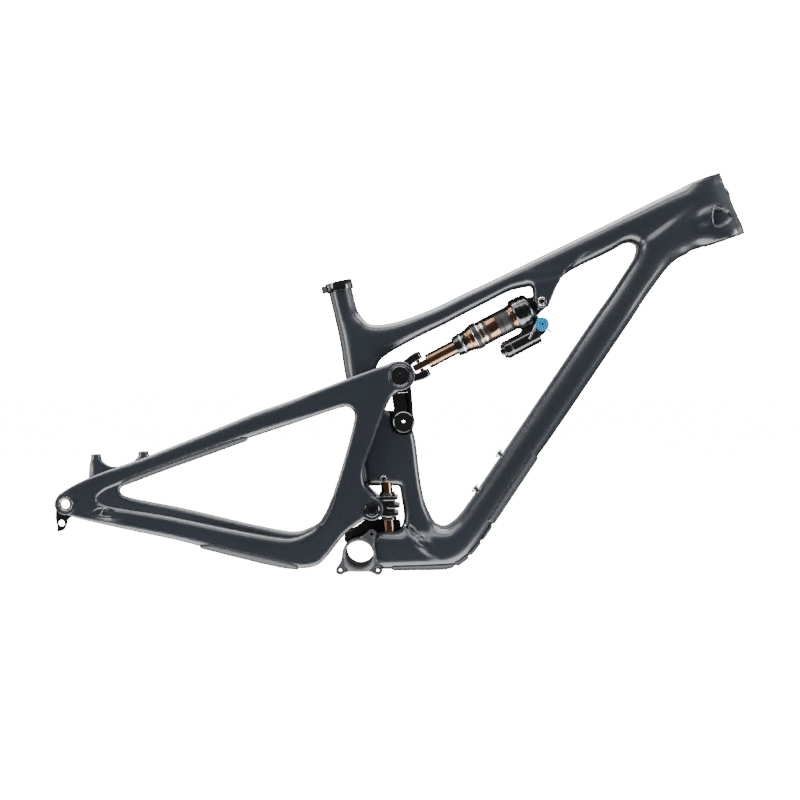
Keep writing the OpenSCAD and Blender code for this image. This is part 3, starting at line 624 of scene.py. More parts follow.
def arm_field(g):
    """Both sides of the swingarm with their bosses and bridge, before anything is cut into it."""
    d = np.minimum(inside_distance(ARM_OUT, g.X2, g.Z2), -inside_distance(ARM_HOLE, g.X2, g.Z2))
    upper = np.clip((g.Z2 - (130 + 0.12 * (g.X2 + 60)) + 20) / 40, 0, 1)
    cy = np.interp(g.X2, STAY_X, CHAIN_Y) * (1 - upper) + np.interp(g.X2, STAY_X, SEAT_Y) * upper
    th = np.interp(g.X2, STAY_X, CHAIN_T) * (1 - upper) + np.interp(g.X2, STAY_X, SEAT_T) * upper
    cy, th = blur(cy, 14), blur(th, 14)
    edge = np.interp(g.X2, [-440, -400, -330, -120, -60, 90], [3.5, 5, 10, 13, 8, 6]) + 0 * g.Z2
    edge_y = np.minimum(np.interp(g.X2, [-440, -400, -330, -120, -60, 90], [2.2, 4, 7, 8.6, 6, 4.5]),
        th - 0.5)
    f = puffed(d, th, 0 * cy, blur(edge, 6), blur(edge_y, 6), np.abs(g.Y) - cy[:, None, :])
    side = np.abs(g.Y)
    for pivot, r in ((UPPER, 21.6), (MAIN, 16.6)):
        f = smin(f, overlap(g.round_y(pivot, r), np.abs(side - 36.3) - 8.1), 2.0)
    # bridge between the sides, narrower at its lower end
    u, v = across(g, (-19, 96), 72), across(g, (-19, 96), 162)
    w = np.clip(u, -24, 0)
    bridge = overlap(np.hypot(u - w, v) - (11 + w / 12), side - 32)
    return smin(f, bridge, 9)


STAY_PORT = [(-386, 69), (-372, 75), (-350, 68), (-350, 61), (-372, 62), (-386, 65)]


def cut_arm(g, f):
    """The cable port on the drive side, and the bores of both pivots and the axle with their pockets."""
    f = smin(f, ellipsoid(g, (-371, 66), (0.97, -0.23), (25, 8, 6), g.Y + 79.5) * 5, 3)
    port = recess(f, inside_distance(STAY_PORT, g.X2, g.Z2), np.interp(g.X, [-386, -370, -350],
        [0.8, 3, 0.6]))
    f = np.where(g.Y < 0, port, f)
    side = np.abs(g.Y)
    for place, pocket_r, pocket, bore_r in ((UPPER, 16.5, 41 - side, 6.6), (UPPER, 14.1, side - 37.6, 6.6),
                                            (MAIN, 11.3, 43.6 - side, 7.6), (AXLE, 12.8, 80.5 - side, 6.1)):
        f = carve(f, g.round_y(place, pocket_r), pocket)
        f = carve(f, g.round_y(place, bore_r))
    return f


def cut_hanger_seat(g, f):
    """The seat of the derailleur hanger, on the drive side only."""
    seat = overlap(g.round_y((-428, 68), 27), g.Z - 94, g.X + 411)
    return carve(f, seat, np.abs(g.Y + 76.4) - 2.7)


arm_grid = Grid((-448, -90, -30), (92, 90, 296), 2.0)
arm_plain = arm_field(arm_grid)
arm_grid.mesh(cut_hanger_seat(arm_grid, cut_arm(arm_grid, arm_plain)), "swingarm_shell", CARBON, "swingarm",
    "carbon", ("upright_right", "upright_left", "seatstay_right", "seatstay_left", "chainstay_right",
    "chainstay_left", "dropout_right", "dropout_left", "swingarm_bridge"))


# ---- brake mount
BRAKE_OUT = [
    (-430, 92), (-426, 106), (-425, 126), (-422, 134), (-411, 134), (-406, 131), (-395, 124), (-381, 123),
    (-368, 127), (-357, 132), (-350, 138), (-335, 139), (-322, 144), (-314, 140), (-320, 120), (-400, 90)
]
POST_TOPS = ((-416, 143), (-342, 147.5))
POST_TILT = math.atan2(4.5, 74)
POST_Y = 75


def arm_patch(lo, hi, step):
    """A finer grid over a part of the swingarm, and the swingarm's field on it."""
    g = Grid(lo, hi, step)
    return g, arm_field(g)


def brake_mount():
    """The foot of the brake mount with its two bored posts, on the left seat stay."""
    g, base = arm_patch((-446, 60, 84), (-306, 92, 152), 1.3)
    mount = overlap(-inside_distance(BRAKE_OUT, g.X2, g.Z2)[:, None, :], np.abs(g.Y - POST_Y) - 6.0)
    c, s = math.cos(POST_TILT), math.sin(POST_TILT)
    for x, z in POST_TOPS:
        u, w = (g.X - x) * c + (g.Z - z) * s, -(g.X - x) * s + (g.Z - z) * c
        r = np.hypot(u, g.Y - POST_Y)
        post = overlap(r - 8.0 - np.clip(-w - 14, 0, 12) * 0.12, w, -w - 34)
        mount = smin(mount, post, 6)
        above = w - np.where(r < 12, 0, 1e3)
        hole = overlap(r - 4.0, -w - 14)
        mount = overlap(mount, above, -hole)
    mount = carve(mount, base + 1.2)
    g.mesh(mount, "brake_mount_body", CARBON, "swingarm", "carbon", ("brake_mount",), rounds=3)


brake_mount()


# ---- rubber guards, moulded over the shells
def guard(g, base, region, name, body, nodes, thick, rib_dir, rib_pitch, rib_depth):
    """A ribbed pad over a shell's field, inside a region, thinner towards its edge."""
    rib = rib_depth * (0.5 + 0.5 * np.cos(2 * math.pi * across(g, (0, 0), rib_dir) / rib_pitch)) ** 0.5
    edge = np.clip(-region / 2.5, 0, 1) ** 0.5
    f = overlap(base - (thick - rib) * edge, -(base + 1.0), region)
    g.mesh(f, name, RUBBER, body, "rubber", nodes, rounds=1, sharp=50)


def outline_region(g, points):
    """A field that is below nought inside an outline, over the grid's full width."""
    return -inside_distance(points, g.X2, g.Z2, 1)[:, None, :] + 0 * g.Y


def down_tube_pad():
    """The upper pad under the down tube."""
    g = Grid((168, -44, 0), (296, 44, 170), 1.5)
    base = front_field(g)
    lower = across(g, (184, 78), -34)
    region = overlap(-across(g, (201, 42.5), 56), across(g, (269, 142.5), 56), 20 - lower)
    guard(g, base, region, "down_tube_guard_pad", "front_triangle",
          ("down_tube_guard",), 2.4, 56, 6.0, 0.2)


down_tube_pad()


def lower_pads():
    """Four pads in a row, down to the bottom bracket."""
    g = Grid((40, -48, -32), (216, 48, 62), 1.5)
    base = front_field(g)
    parts = [
        overlap(across(g, (199, 41), 56), -across(g, (184, 18), 52)),
        overlap(across(g, (183, 16), 52), -across(g, (166, -5), 45)),
        overlap(across(g, (165, -6.5), 45), -across(g, (144, -19), 20)),
        overlap(across(g, (142, -20), 20), 48 - g.X + 0 * g.Y),
    ]
    skirt = np.interp(g.x, [40, 134, 150, 166, 184, 200], [-17, -14, -8, 6, 26, 52])[:, None, None]
    region = overlap(reduce(np.minimum, parts), g.Z - skirt)
    guard(g, base, region, "lower_guard_pads", "front_triangle", ("lower_guard_segments",), 2.4, 35, 5.0,
          0.25)


lower_pads()


def seatstay_pad():
    """The pad on the drive side's seat stay."""
    g, base = arm_patch((-352, -86, 96), (-156, -36, 180), 1.4)
    region = outline_region(g, [(-345, 100), (-280, 119), (-203, 147), (-163, 162), (-163, 178), (-200, 166),
        (-280, 137), (-345, 113)])
    guard(g, base, region, "seatstay_pad", "swingarm", ("seatstay_guard",), 2.2, 21, 5.0, 0.2)


def chainstay_pads():
    """The pads below the drive side's chain stay and up the upright."""
    g, base = arm_patch((-240, -70, -28), (-26, -24, 100), 1.4)
    low = outline_region(g, [(-233, 24), (-150, 4), (-90, -11), (-88, -26), (-233, -4)])
    up = outline_region(g, [(-62, 44), (-48, 66), (-39, 90), (-32, 90), (-40, 66), (-52, 44)])
    guard(g, base, np.minimum(low, up), "chainstay_pads", "swingarm", ("chainstay_guards",), 2.2, -13, 5.0,
          0.2)


seatstay_pad()
chainstay_pads()


# ---- turned and milled hardware
# upper pivot caps: dished, with a thin ring and a small drive hole
lathe("upper_pivot_cap_pair", [(41, 0.0), (41, 16.0), (43.8, 16.0), (44.5, 15.3), (44.5, 14.2), (43.9, 13.7),
      (43.7, 12.0), (43.5, 5.6), (43.9, 4.9), (43.9, 4.1), (42.6, 3.2), (42.2, 0.0)],
      at(UPPER), OUT_R, [BLACK, GUNMETAL], "swingarm", ("upper_pivot_caps",), mirror=True,
      bands=[(44.0, 44.45, 1)])
# main pivot axle with its heads
AXLE_END = [(43.8, 7.5), (43.9, 11.0), (45.9, 11.0), (46.5, 10.2), (46.5, 7.6), (45.4, 6.6), (45.2, 4.2),
    (43.0, 3.6), (43.0, 0.0)]
lathe("main_pivot_axle_turned", [(-t, r) for t, r in reversed(AXLE_END)] + AXLE_END, at(MAIN), OUT_R, BLACK,
      "swingarm", ("main_pivot_axle",), seg=64)
# rocker caps with a see-through middle
lathe("rocker_cap_pair", [(24.4, 2.6), (24.4, 15.6), (26.6, 16.4), (27.4, 16.2), (27.7, 15.3), (27.3, 14.5),
      (26.4, 13.9), (26.5, 12.0), (26.3, 5.6), (26.0, 4.6), (25.8, 2.6), (24.4, 2.6)], at(ROCKER), OUT_R,
      [BLACK, DARK_METAL], "front_triangle",
      ("rocker_caps",), mirror=True, bands=[(26.7, 27.65, 1)])


def socket_bolt(name, place, axis, head_r, head_h, body, nodes=(), hole=0.5, mat=SILVER, shank=(2.4, 5.0)):
    """A bolt with a shank (radius, length), and a bevelled head whose hex socket is hole times its radius."""
    h = head_r * hole
    shank_r, shank_l = shank
    outside = [(-shank_l, 0.0), (-shank_l, shank_r - 0.4), (0.4 - shank_l, shank_r), (0, shank_r),
        (0, head_r), (head_h * 0.7, head_r), (head_h, head_r * 0.84), (head_h, h * 1.08), (head_h * 0.92, h)]
    # the hex socket is lined with matt black: painted shade inside its recess
    socket = [(head_h * 0.92, h), (head_h * 0.25, h), (head_h * 0.25, 0.0)]
    verts, faces, _ = lathe_data(outside, place, axis, 48)
    more_verts, more_faces, _ = lathe_data(socket, place, axis, 6)
    face_mats = [0] * len(faces) + [1] * len(more_faces)
    faces = faces + [tuple(i + len(verts) for i in f) for f in more_faces]
    make(name, verts + more_verts, faces, [mat, MATT_BLACK], body, nodes, 30, face_mats)


socket_bolt("shock_bolt_head", at(SHOCK, -18), OUT_R, 6.8, 3.4, "front_triangle", ("shock_mount_bolt",),
    shank=(3.8, 35.0))
socket_bolt("shock_bolt_nut", at(SHOCK, 18), (0, 1, 0), 6.2, 4.2, "front_triangle", hole=0.42,
    shank=(3.7, 0.6))
for i, sy in enumerate((-1, 1)):
    socket_bolt("rail_bolt_%d" % i, (36, 24 * sy, 111.5), (0, sy, 0), 5.0, 2.8, "front_triangle",
        ("rail_bolts",) if i == 0 else ())
socket_bolt("hanger_screw_head", (-417.5, -75.6, 64.5), (0, 1, 0), 3.5, 1.5, "swingarm", ("hanger_screw",),
    shank=(1.9, 6.0))
for i, sign in enumerate((1, -1)):
    socket_bolt("yoke_bolt_head_%d" % i, shock_point(206, 0, sign * 18.5), tuple(c * sign for c in SHOCK_UP),
        6.0, 2.6, "shock_shaft", ("yoke_bolts",) if i == 0 else (), mat=BLACK, shank=(2.9, 18.0))

# shock: head, can, seal head, shaft and reservoir
lathe("shock_head_barrel", [(14.5, 0.0), (14.5, 9.0), (15.5, 15.5), (17.5, 20.5), (20.0, 23.0), (22.5, 24.2),
      (25.0, 24.4), (25.6, 23.4), (27.2, 23.4), (27.8, 24.6), (33.2, 24.9), (33.8, 24.0), (35.0, 24.0),
      (35.6, 24.9),
      (42.6, 24.8), (44.8, 24.0), (46.0, 22.6), (46.0, 20.8), (47.0, 20.6), (49.4, 20.4), (50.2, 19.4),
      (50.2, 0.0)], at(SHOCK), BACK, [DARK_METAL, BRONZE], "shock_body", seg=96,
      bands=[(46.1, 51, 1)])
lathe("shock_can_sleeve", [(50.0, 18.4), (50.2, 19.25), (53.4, 19.25), (53.6, 19.35), (75.4, 19.35),
    (75.6, 19.25), (90.8, 19.25), (91.0, 19.45), (95.0, 19.45), (95.3, 19.0), (96.6, 19.0), (96.9, 19.5),
    (99.6, 19.5), (99.9, 19.2), (104.0, 19.25), (105.0, 20.3), (106.6, 20.6), (113.8, 20.6), (114.6, 20.2),
    (115.4, 19.4), (118.0, 19.1), (118.0, 15.2), (50.0, 15.2), (50.0, 18.4)], at(SHOCK), BACK,
    [BRONZE, MATT_BLACK, SILVER, DECAL], "shock_body", ("air_can",), seg=96,
    bands=[(53.5, 75.5, 1), (91.2, 94.9, 1), (96.8, 99.8, 2), (104.5, 106.4, 2), (106.4, 113.9, 1),
    (113.9, 115, 2)])


def decal_panel(name, start, end):
    """A plain raised panel without lettering, bent round the can."""
    n, r, low, high = 18, 19.6, -58, 20
    verts, faces = [], []
    for k in range(n + 1):
        w = math.radians(low + (high - low) * k / n)
        for t in (start, end):
            for rr in (r - 0.5, r):
                verts.append(shock_point(t, -rr * math.cos(w), rr * math.sin(w)))
    for k in range(n):
        b = 4 * k
        faces += [(b + 1, b + 3, b + 7, b + 5), (b, b + 4, b + 6, b + 2), (b, b + 1, b + 5, b + 4),
            (b + 3, b + 2, b + 6, b + 7)]
    faces += [(0, 2, 3, 1), (4 * n, 4 * n + 1, 4 * n + 3, 4 * n + 2)]
    make(name, verts, faces, DECAL, "shock_body")


decal_panel("shock_panel_0", 57, 67)
decal_panel("shock_panel_1", 69.5, 73.5)

lathe("shock_seal_head", [(118.0, 15.2), (118.2, 18.4), (121.0, 18.2), (122.2, 17.3), (127.0, 17.0),
    (128.0, 16.4), (133.0, 16.4), (133.6, 17.0), (136.0, 17.0), (136.6, 16.2), (142.4, 16.0), (143.0, 15.2),
    (145.2, 15.0), (146.0, 14.2), (146.0, 11.4), (112.5, 11.4), (112.5, 15.1), (118.0, 15.2)], at(SHOCK),
    BACK, [BLACK, BRONZE, SILVER], "shock_body", ("seal_head",), seg=96,
    bands=[(118.1, 127.4, 1), (133.3, 136.4, 2)])
lathe("shock_shaft_tube", [(100, 0.0), (100, 11.3), (187.5, 11.3), (188.1, 10.8), (188.9, 10.8),
    (189.5, 11.4), (192.2, 11.3), (193.4, 10.2), (193.4, 0.0)], at(SHOCK), BACK, BRONZE, "shock_shaft",
    ("shock_shaft",), seg=96)
lathe("reservoir_can", [(25.5, 0.0), (25.5, 12.2), (27.4, 13.8), (38, 13.8), (38.5, 13.3), (40, 13.3),
    (40.5, 13.8), (70, 13.8), (70.6, 13.2), (72.0, 13.2), (72.6, 13.8), (80.5, 13.8), (81.6, 13.3),
    (82.4, 12.0), (83.2, 11.4), (85.4, 11.2), (86.0, 10.4), (86.0, 6.2), (84.8, 5.4)], shock_point(0, 0, -40),
    BACK, [BLACK, GUNMETAL], "shock_body", ("reservoir",), seg=72, bands=[(70.2, 72.4, 1)])
lathe("air_valve", [(83, 5.2), (88.0, 5.0), (89.0, 4.2), (89.0, 0.0)], shock_point(0, 0, -40), BACK, BLACK,
      "shock_body", ("air_valve_cap",), seg=10, sharp=20)


def shock_axes(g):
    """Distance behind the front bolt, and up across the shock's axis, over the grid's middle plane."""
    back = (SHOCK[0] - g.X2) * SHOCK_U.x + (SHOCK[1] - g.Z2) * SHOCK_U.y
    up = -(g.X2 - SHOCK[0]) * SHOCK_U.y + (g.Z2 - SHOCK[1]) * SHOCK_U.x
    return back, up


def shock_yoke():
    """The bronze tongue at the shaft's end, and the black yoke that holds it and turns on the upper pivot."""
    g = Grid((28, -14, 232), (122, 14, 322), 1.0)
    back, up = shock_axes(g)
    tongue = inside_distance([(192, -5.4), (192, 5.4), (217, 5.4), (217, -5.4)], back, up, 0)
    g.mesh(slab(g, tongue, -9.6, 9.6, 1.0), "shock_tongue", BRONZE, "shock_shaft", "bronze", rounds=2)
    prong = [(197, 8.6), (197, 19.5), (199, 20.5), (213, 20.5), (230, 17), (238, 8), (224, 7.4)]
    prongs = [slab(g, inside_distance([(t, u * sign) for t, u in prong], back, up, 0), -9, 9,
        1.6) for sign in (1, -1)]
    neck = inside_distance([(217.5, -15), (217.5, 15), (238, 13), (238, -13)], back, up, 0)
    hub = overlap(g.round_y(UPPER, 13), np.abs(g.Y) - 12)
    yoke = smin(smin(np.minimum(*prongs), slab(g, neck, -9, 9, 2.0), 3), hub, 3)
    g.mesh(yoke, "shock_yoke_body", BLACK, "shock_shaft", "gloss_black", ("shock_yoke",), rounds=2)


def shock_bridge():
    """The head's eye, its bridge down to the reservoir and the boss of the compression dial."""
    g = Grid((212, -26, 296), (292, 20, 396), 1.2)
    back, up = shock_axes(g)
    bridge = inside_distance([(12, -20), (26, -6), (30, -22), (50, -24), (50, -33), (40, -46), (20, -46),
        (8, -38)], back, up, 2)
    eye = overlap(g.round_y(SHOCK, 10.4), np.abs(g.Y) - 10.4)
    arm = inside_distance([(-8, -7), (-8, 7), (6, 13), (20, 17), (20, -17), (6, -13)], back, up, 2)
    body = smin(smin(slab(g, bridge, -10, 9.5, 2.5), eye, 3), slab(g, arm, -9, 9, 2.5), 4)
    dial_boss = np.hypot(back - 16, up + 30)[:, None, :] + 0 * g.Y - 8.6
    body = smin(body, overlap(dial_boss, g.Y - 5, -g.Y - 20), 3)
    body = carve(body, g.round_y(SHOCK, 6.4))
    g.mesh(body, "shock_bridge", BLACK, "shock_body", "gloss_black", ("shock_head",), rounds=2)


shock_yoke()
shock_bridge()

# small bars: silver lines round the prongs near their tips, painted highlights standing in for the light on
# the prongs' tip edges; the link rod of the dial and the lever's tip
TIP_HIGHLIGHT_PATH = ((-8.2, 8.8), (-9.2, 10), (-9.2, 19), (-8, 20.3), (8, 20.3))
# painted highlight: a silver wire round each prong where its tip edge catches the light
for i, sign in enumerate((1, -1)):
    tip_highlight_path = [shock_point(200.6, side, up * sign) for side, up in TIP_HIGHLIGHT_PATH]
    wire("yoke_tip_highlight_%d" % i, tip_highlight_path, 0.55, SILVER, "shock_shaft")
rod = [shock_point(19 + 24 * k / 8, -21.5 + 3.0 * (k / 8), -22 - 19 * k / 8) for k in range(9)]
wire("shock_link_rod", rod, 1.7, SILVER, "shock_body")
wire("compression_lever_tip", [shock_point(13, -24, -39), shock_point(11.5, -24.3, -43),
     shock_point(10.5, -24.6, -47)], 1.5, SILVER, "lever")


def slider_carrier():
    """The sliding carrier, stepped like its seals, with the pivot boss behind it."""
    g = Grid((-2, -29, 48), (66, 29, 92), 1.0)
    block = inside_distance([(22, 54), (53.5, 55), (53.5, 84), (28, 84), (22, 80)], g.X2, g.Z2, 1)
    block = smin(slab(g, block, -26, 26, 2), overlap(g.round_y(MAIN, 15), np.abs(g.Y) - 26), 3)
    for fin in ([(26, 78.6), (57.5, 79.2), (57.5, 86), (26, 85.4)], [(40, 67), (60.5, 67.5), (60.5, 73.6),
                                                                     (40, 73.2)],
                [(28, 54.6), (58.6, 55.2), (58.6, 62.4), (28, 61.8)]):
        block = np.minimum(block, slab(g, inside_distance(fin, g.X2, g.Z2, 1), -26.8, 26.8, 1.6))
    for side in RAIL_SIDES:
        from_rail = np.hypot(g.X - rail_x(g.Z), g.Y - side)
        for low, high in ((84, 89.5), (49.5, 56)):
            seal = overlap(from_rail - 11.6, np.abs(g.Z - (low + high) / 2) - (high - low) / 2)
            block = smin(block, seal, 1.5)
        block = overlap(block, 8.7 - from_rail)
    block = carve(block, g.round_y(MAIN, 8.0))
    g.mesh(block, "slider_carrier", BLACK, "slider", "gloss_black", ("slider_block", "slider_wipers"),
           rounds=2)


def rail_seat_and_shade_tail():
    """The matt black seat of the rails behind the bottom bracket; its tail reaching back behind the shell is
    painted shade, a dark piece standing in for the shadowed cavity between the shell and the swingarm.
    """
    g = Grid((-28, -14, 8), (68, 14, 54), 1.2)
    # the points left of x = 4 make the tail behind the shell: painted shade of the cavity there
    outline = [(-24, 15), (-23, 28), (-6, 38), (4, 45), (9, 49), (58, 49), (62, 44), (61, 33), (26, 26),
        (14, 22), (-10, 12)]
    seat = slab(g, inside_distance(outline, g.X2, g.Z2, 1), -10, 10, 1.5)
    seat = overlap(seat, 24.7 - np.hypot(g.X, g.Z))
    for side in RAIL_SIDES:
        seat = overlap(seat, 8.8 - np.hypot(g.X - rail_x(g.Z), g.Y - side))
    g.mesh(seat, "rail_seat_and_shade_tail", MATT_BLACK, "front_triangle", "gloss_black", ("rail_holder",), rounds=2)


def bb_shell():
    """The bottom bracket shell with its three rounded and bored lugs."""
    g = Grid((-46, -48, -46), (46, 48, 46), 1.3)
    rim = np.hypot(g.X2, g.Z2) - BB_R
    lugs = rim
    for angle in GUIDE:
        _, c, s = guide_hole(angle)
        u, v = g.X2 * c + g.Z2 * s, -g.X2 * s + g.Z2 * c
        w = np.clip(u / GUIDE_R, 0, 1)
        lugs = smin(lugs, np.hypot(u - GUIDE_R * w, v) - (17 - 10.1 * w), 9)
    shell = smin(slab(g, -rim, -46, 46, 1.0), slab(g, -lugs, -41, -31.2, 1.4), 3)
    shell = overlap(shell, 21.3 - np.hypot(g.X, g.Z))
    for angle in GUIDE:
        shell = carve(shell, g.round_y(guide_hole(angle)[0], 4.6))
    g.mesh(shell, "bb_shell_body", SHELL_GREY, "front_triangle", "gunmetal", ("bb_shell",), rounds=3)


slider_carrier()
rail_seat_and_shade_tail()
bb_shell()

# the bare bore of the shell
lathe("bb_bore_sleeve", [(-45.6, 21.9), (-45.6, 23.2), (-45.9, 23.2), (-45.9, 21.7), (-42.5, 21.4),
    (-42.2, 20.8), (-34, 20.8), (-33.8, 20.65), (33.8, 20.65), (34, 20.8), (42.2, 20.8), (42.5, 21.4),
    (45.9, 21.7), (45.9, 23.2), (45.6, 23.2), (45.6, 21.9), (-45.6, 21.9)], (0, 0, 0), OUT_R, BORE_GREY,
    "front_triangle", seg=96)

# silver bars across the rocker link, under the swingarm's bosses: painted highlights standing in for the
# light along the link's edges
wire("link_edge_highlight_bars", [(57.5, -24.1, 240.4), (64.5, -24.2, 240.5), (71.5, -24.1, 240.7)], 0.8, SILVER,
     "link",
     (), True)


def hanger_plate():
    """The derailleur hanger: a small plate with a hook."""
    g = Grid((-444, -82, 34), (-406, -70, 98), 0.8)
    plate = slab(g, inside_distance([(-438, 84), (-440, 60), (-438.5, 51), (-436.5, 45), (-438.5, 39.5),
        (-434, 38.4), (-427, 41.5), (-423.5, 48), (-422, 57), (-410, 63), (-411, 90), (-428, 93)], g.X2, g.Z2,
        1), -79, -74, 1.0)
    plate = carve(plate, np.minimum(g.round_y(AXLE, 12.2), g.round_y((-431, 51), 4.6)))
    g.mesh(plate, "derailleur_hanger_plate", BLACK, "swingarm", "gloss_black", ("derailleur_hanger",),
           rounds=2)


hanger_plate()


# round ends of the head tube with their headset seats
lathe("head_tube_seats", [(0, 22.0), (0, 25.3), (0.6, 25.9), (2.2, 25.9), (2.2, 24.2), (15, 24.2), (17, 22.8),
      (80, 22.8), (82, 29.3), (95.8, 29.3), (95.8, 31.6), (97.4, 31.6), (98, 31.0), (98, 28.0), (82, 28.0),
      (81, 20.5), (16, 20.5), (16, 22.0), (0, 22.0)], at(HEAD_TOP), (HEAD_DIR[0], 0, HEAD_DIR[1]), CARBON,
      "front_triangle", ("head_tube",), seg=128)


# cable ports: gunmetal bars over the pockets
def side_of(g, f, x, z):
    """How far out the drive side's surface lies at a point."""
    column = f[int(round((x - g.lo[0]) / g.step)), :, int(round((z - g.lo[2]) / g.step))]
    return g.y[np.nonzero(column < 0)[0].min()]


def clip(name, points, g, f, body, nodes, mirror):
    """A bar that runs along points (x, z), just under the outermost of the surface's sides there."""
    outer = min(side_of(g, f, x, z) for x, z in points)
    path = []
    for (x0, z0), (x1, z1) in zip(points[:-1], points[1:]):
        for k in range(6):
            w = k / 6
            path.append((x0 + (x1 - x0) * w, outer - 0.2, z0 + (z1 - z0) * w))
    path.append((points[-1][0], outer - 0.2, points[-1][1]))
    wire(name, path, 0.9, GUNMETAL, body, nodes, mirror)


clip("head_port_clips", [(528.5, 519), (525.5, 511), (524.3, 502), (525.2, 493), (528, 487.5)], front_grid,
     front_plain, "front_triangle", ("head_cable_ports",), True)
clip("lower_port_clips", [(66, 43), (70, 36), (79, 27), (86, 22)], front_grid, front_plain, "front_triangle",
     ("lower_cable_ports",), True)
clip("lower_port_bars", [(74, 45), (82, 38), (91, 28)], front_grid, front_plain, "front_triangle", (), True)
clip("stay_port_clip", [(-366, 76), (-369.5, 72), (-372, 66), (-375, 61)], arm_grid, arm_plain, "swingarm",
     ("chainstay_cable_ports",), False)


def head_badge():
    """A plain badge on the front of the head tube."""
    g = Grid((536, -16, 512), (576, 16, 548), 1.0)
    t, r = g.axis_of(HEAD_TOP, HEAD_DIR)
    front_side = (g.X - HEAD_TOP[0]) * -HEAD_DIR[1] + (g.Z - HEAD_TOP[1]) * HEAD_DIR[0]
    badge = overlap(r - 29.6 + np.abs(t - 33) * 0.12, 25.0 - r,
                    np.sqrt(((t - 33) / 9.5) ** 2 + (g.Y / 11) ** 2) * 9 - 9)
    badge = overlap(badge, 10 - front_side)
    g.mesh(badge, "head_badge_plate", DARK_METAL, "front_triangle", "gunmetal", ("head_badge",), rounds=2)


head_badge()


def compression_dial():
    """The compression lever's dial: a knurled rim and a stepped face with a small screw in the middle."""
    middle = shock_point(16, -20.4, -30)
    profile = ((0.0, 9.6), (-0.6, 10.5), (-4.2, 10.5), (-5.0, 9.7), (-5.0, 6.4), (-4.2, 5.8), (-4.2, 3.2),
        (-5.4, 2.8), (-5.4, 1.6), (-4.0, 1.3), (-4.0, 0.4))
    n, last, knurled = 48, len(profile) - 1, (1, 2)
    verts, faces = [], []
    for j, (y, r) in enumerate(profile):
        for k in range(n):
            w = 2 * math.pi * k / n
            rk = r * (1 - (0.045 if k % 2 and j in knurled else 0.0))
            verts.append((middle[0] + rk * math.cos(w), middle[1] + y, middle[2] + rk * math.sin(w)))
    for j in range(last):
        for k in range(n):
            k2 = (k + 1) % n
            faces.append((j * n + k, j * n + k2, (j + 1) * n + k2, (j + 1) * n + k))
    faces.append(tuple(range(last * n, (last + 1) * n)))
    faces.append(tuple(reversed(range(n))))
    # the middle screw's socket is matt black: painted shade inside its recess
    face_mats = [0] * (8 * n) + [1] * (2 * n) + [1, 0]
    make("compression_dial", verts, faces, [BLUE, MATT_BLACK], "lever", ("compression_lever",), 25,
         face_mats)


compression_dial()

# axle seats: turned and stepped rings
for sy, nm in ((-1, "right"), (1, "left")):
    lathe("axle_seat_%s" % nm, [(81, 11.5), (84.2, 11.5), (84.9, 10.9), (84.9, 9.3), (84.2, 8.9), (83.6, 8.7),
          (83.6, 7.0), (83.0, 6.1), (81, 6.1), (81, 11.5)], at(AXLE), (0, sy, 0), SILVER, "swingarm",
          ("dropout_inserts",) if sy < 0 else (), seg=72)

# round carbon ends of the dropouts, about the axle seats
lathe("dropout_rim_pair", [(79.4, 11.8), (84.0, 11.8), (84.9, 12.6), (84.9, 14.2), (84.3, 15.4), (83.2, 15.9),
    (79.4, 15.9), (79.4, 11.8)], at(AXLE), OUT_R, CARBON, "swingarm", mirror=True)

# ---- finishes of the CAD pieces
FINISH = {
    "carbon": CARBON, "gloss_black": BLACK, "bronze": BRONZE, "silver": SILVER, "gunmetal": GUNMETAL,
    "rubber": RUBBER, "blue": BLUE,
}
slots = {s["node"]: s["material_slot"] for s in frame["record"]["subparts"]}
for node, o in NODES.items():
    m = FINISH[slots[node]]
    o.data.materials.clear()
    o.data.materials.append(m)
for node, width in (("seat_collar", 0.8), ("rocker_link", 1.2), ("seat_collar_bolt", 0.5),
                    ("bottle_bosses", 0.3)):
    weld = NODES[node].modifiers.new("weld", "WELD")
    weld.merge_threshold = 0.00002
    bevel = NODES[node].modifiers.new("bevel", "BEVEL")
    bevel.width = width * 0.001
    bevel.segments = 2
    bevel.limit_method = "ANGLE"
    bevel.angle_limit = math.radians(50)

# ---- floor, light and camera
def plane(name, size, z, mat):
    """A square of the stage, at a height."""
    me = bpy.data.meshes.new(name)
    s = size / 2
    me.from_pydata([(-s, -s, z), (s, -s, z), (s, s, z), (-s, s, z)], [], [(0, 1, 2, 3)])
    me.materials.append(mat)
    o = add_object(name, me)
    return o


floor_mat = material("pale_floor", (0.86, 0.86, 0.86), 0.7, 0, 0, 0.1, 0.2, 0.0, 400, 0.02, 0.004)
fb = floor_mat.node_tree.nodes["Principled BSDF"]
fb.inputs["Emission Color"].default_value = (1, 1, 1, 1)
fb.inputs["Emission Strength"].default_value = 16.0
floor = plane("floor", 80.0, -0.105, floor_mat)
floor.visible_diffuse = floor.visible_glossy = False


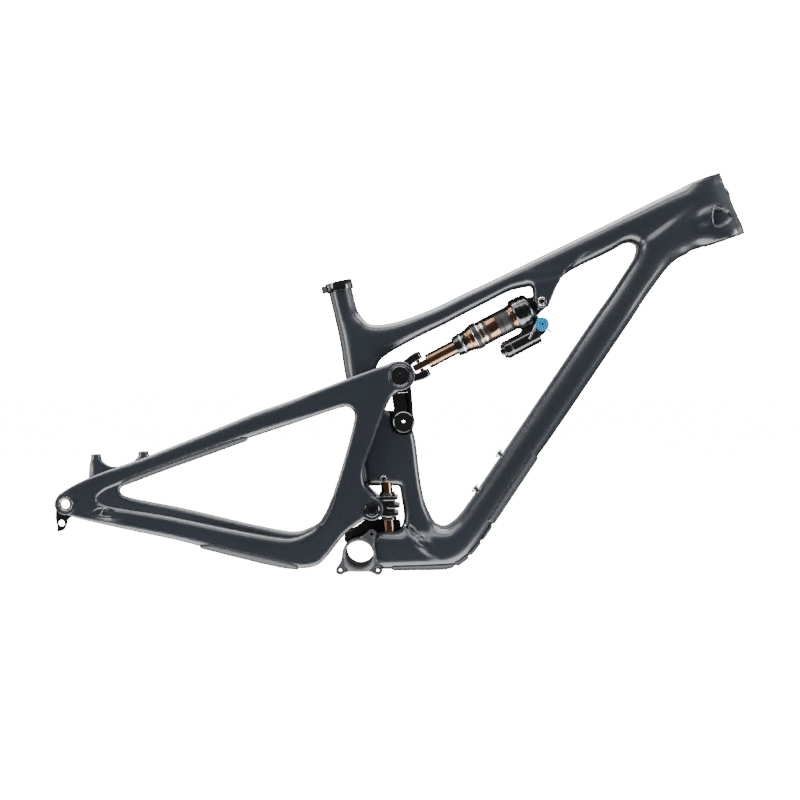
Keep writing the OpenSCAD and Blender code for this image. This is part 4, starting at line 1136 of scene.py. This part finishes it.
def dome():
    """A pale dome, seen only by the camera, so that every view has the same plain backdrop."""
    glow = bpy.data.materials.new("pale_dome")
    glow.use_nodes = True
    tree = glow.node_tree
    tree.nodes.remove(tree.nodes["Principled BSDF"])
    emission = tree.nodes.new("ShaderNodeEmission")
    emission.inputs["Strength"].default_value = 24.0
    tree.links.new(emission.outputs["Emission"], tree.nodes["Material Output"].inputs["Surface"])
    me = bpy.data.meshes.new("dome")
    bm = bmesh.new()
    bmesh.ops.create_icosphere(bm, subdivisions=3, radius=38)
    bm.to_mesh(me)
    bm.free()
    me.materials.append(glow)
    o = add_object("dome", me)
    o.visible_diffuse = o.visible_glossy = o.visible_shadow = o.visible_transmission = False


dome()


def area(name, place, target, size, size_y, power):
    """A white rectangular light that faces a target."""
    l = bpy.data.lights.new(name, "AREA")
    l.shape = "RECTANGLE"
    l.size, l.size_y = size, size_y
    l.energy = power
    o = add_object(name, l)
    o.location = place
    o.rotation_euler = (Vector(target) - Vector(place)).to_track_quat("-Z", "Y").to_euler()
    o.visible_camera = False


area("top_soft", (0.0, 0.3, 2.2), (0.05, 0, 0.2), 4.0, 1.6, 230)
area("top_front", (0.0, -1.5, 2.3), (0.05, 0, 0.2), 3.6, 0.6, 40)
area("front_left", (-2.6, -1.3, 0.6), (0.0, 0, 0.2), 0.9, 1.6, 50)
area("front_right", (2.8, -1.1, 0.3), (0.2, 0, 0.2), 0.9, 1.8, 85)
area("back_wall", (0.1, 3.2, 0.5), (0.1, 0, 0.3), 6.0, 3.0, 16)
area("left_wall", (-3.2, 0.6, 0.5), (0, 0, 0.2), 1.6, 2.4, 30)
area("right_wall", (3.4, 0.6, 0.5), (0.1, 0, 0.2), 1.6, 2.4, 30)
area("below", (0.1, -0.8, -1.6), (0.1, 0, 0.2), 4.0, 1.8, 210)

world = bpy.data.worlds.new("studio")
bpy.context.scene.world = world
world.use_nodes = True
bg = world.node_tree.nodes["Background"]
bg.inputs["Color"].default_value = (1, 1, 1, 1)
bg.inputs["Strength"].default_value = 0.12

cam_data = bpy.data.cameras.new("camera")
cam = add_object("camera", cam_data)
bpy.context.scene.camera = cam
cam.location = (0.0678, -2.04, 0.25605)
cam.rotation_euler = (math.radians(90), 0, 0)
cam_data.sensor_width = 36
cam_data.lens = 60.8
cam_data.shift_x = -0.00625
cam_data.shift_y = -0.0225
cam_data.clip_end = 200
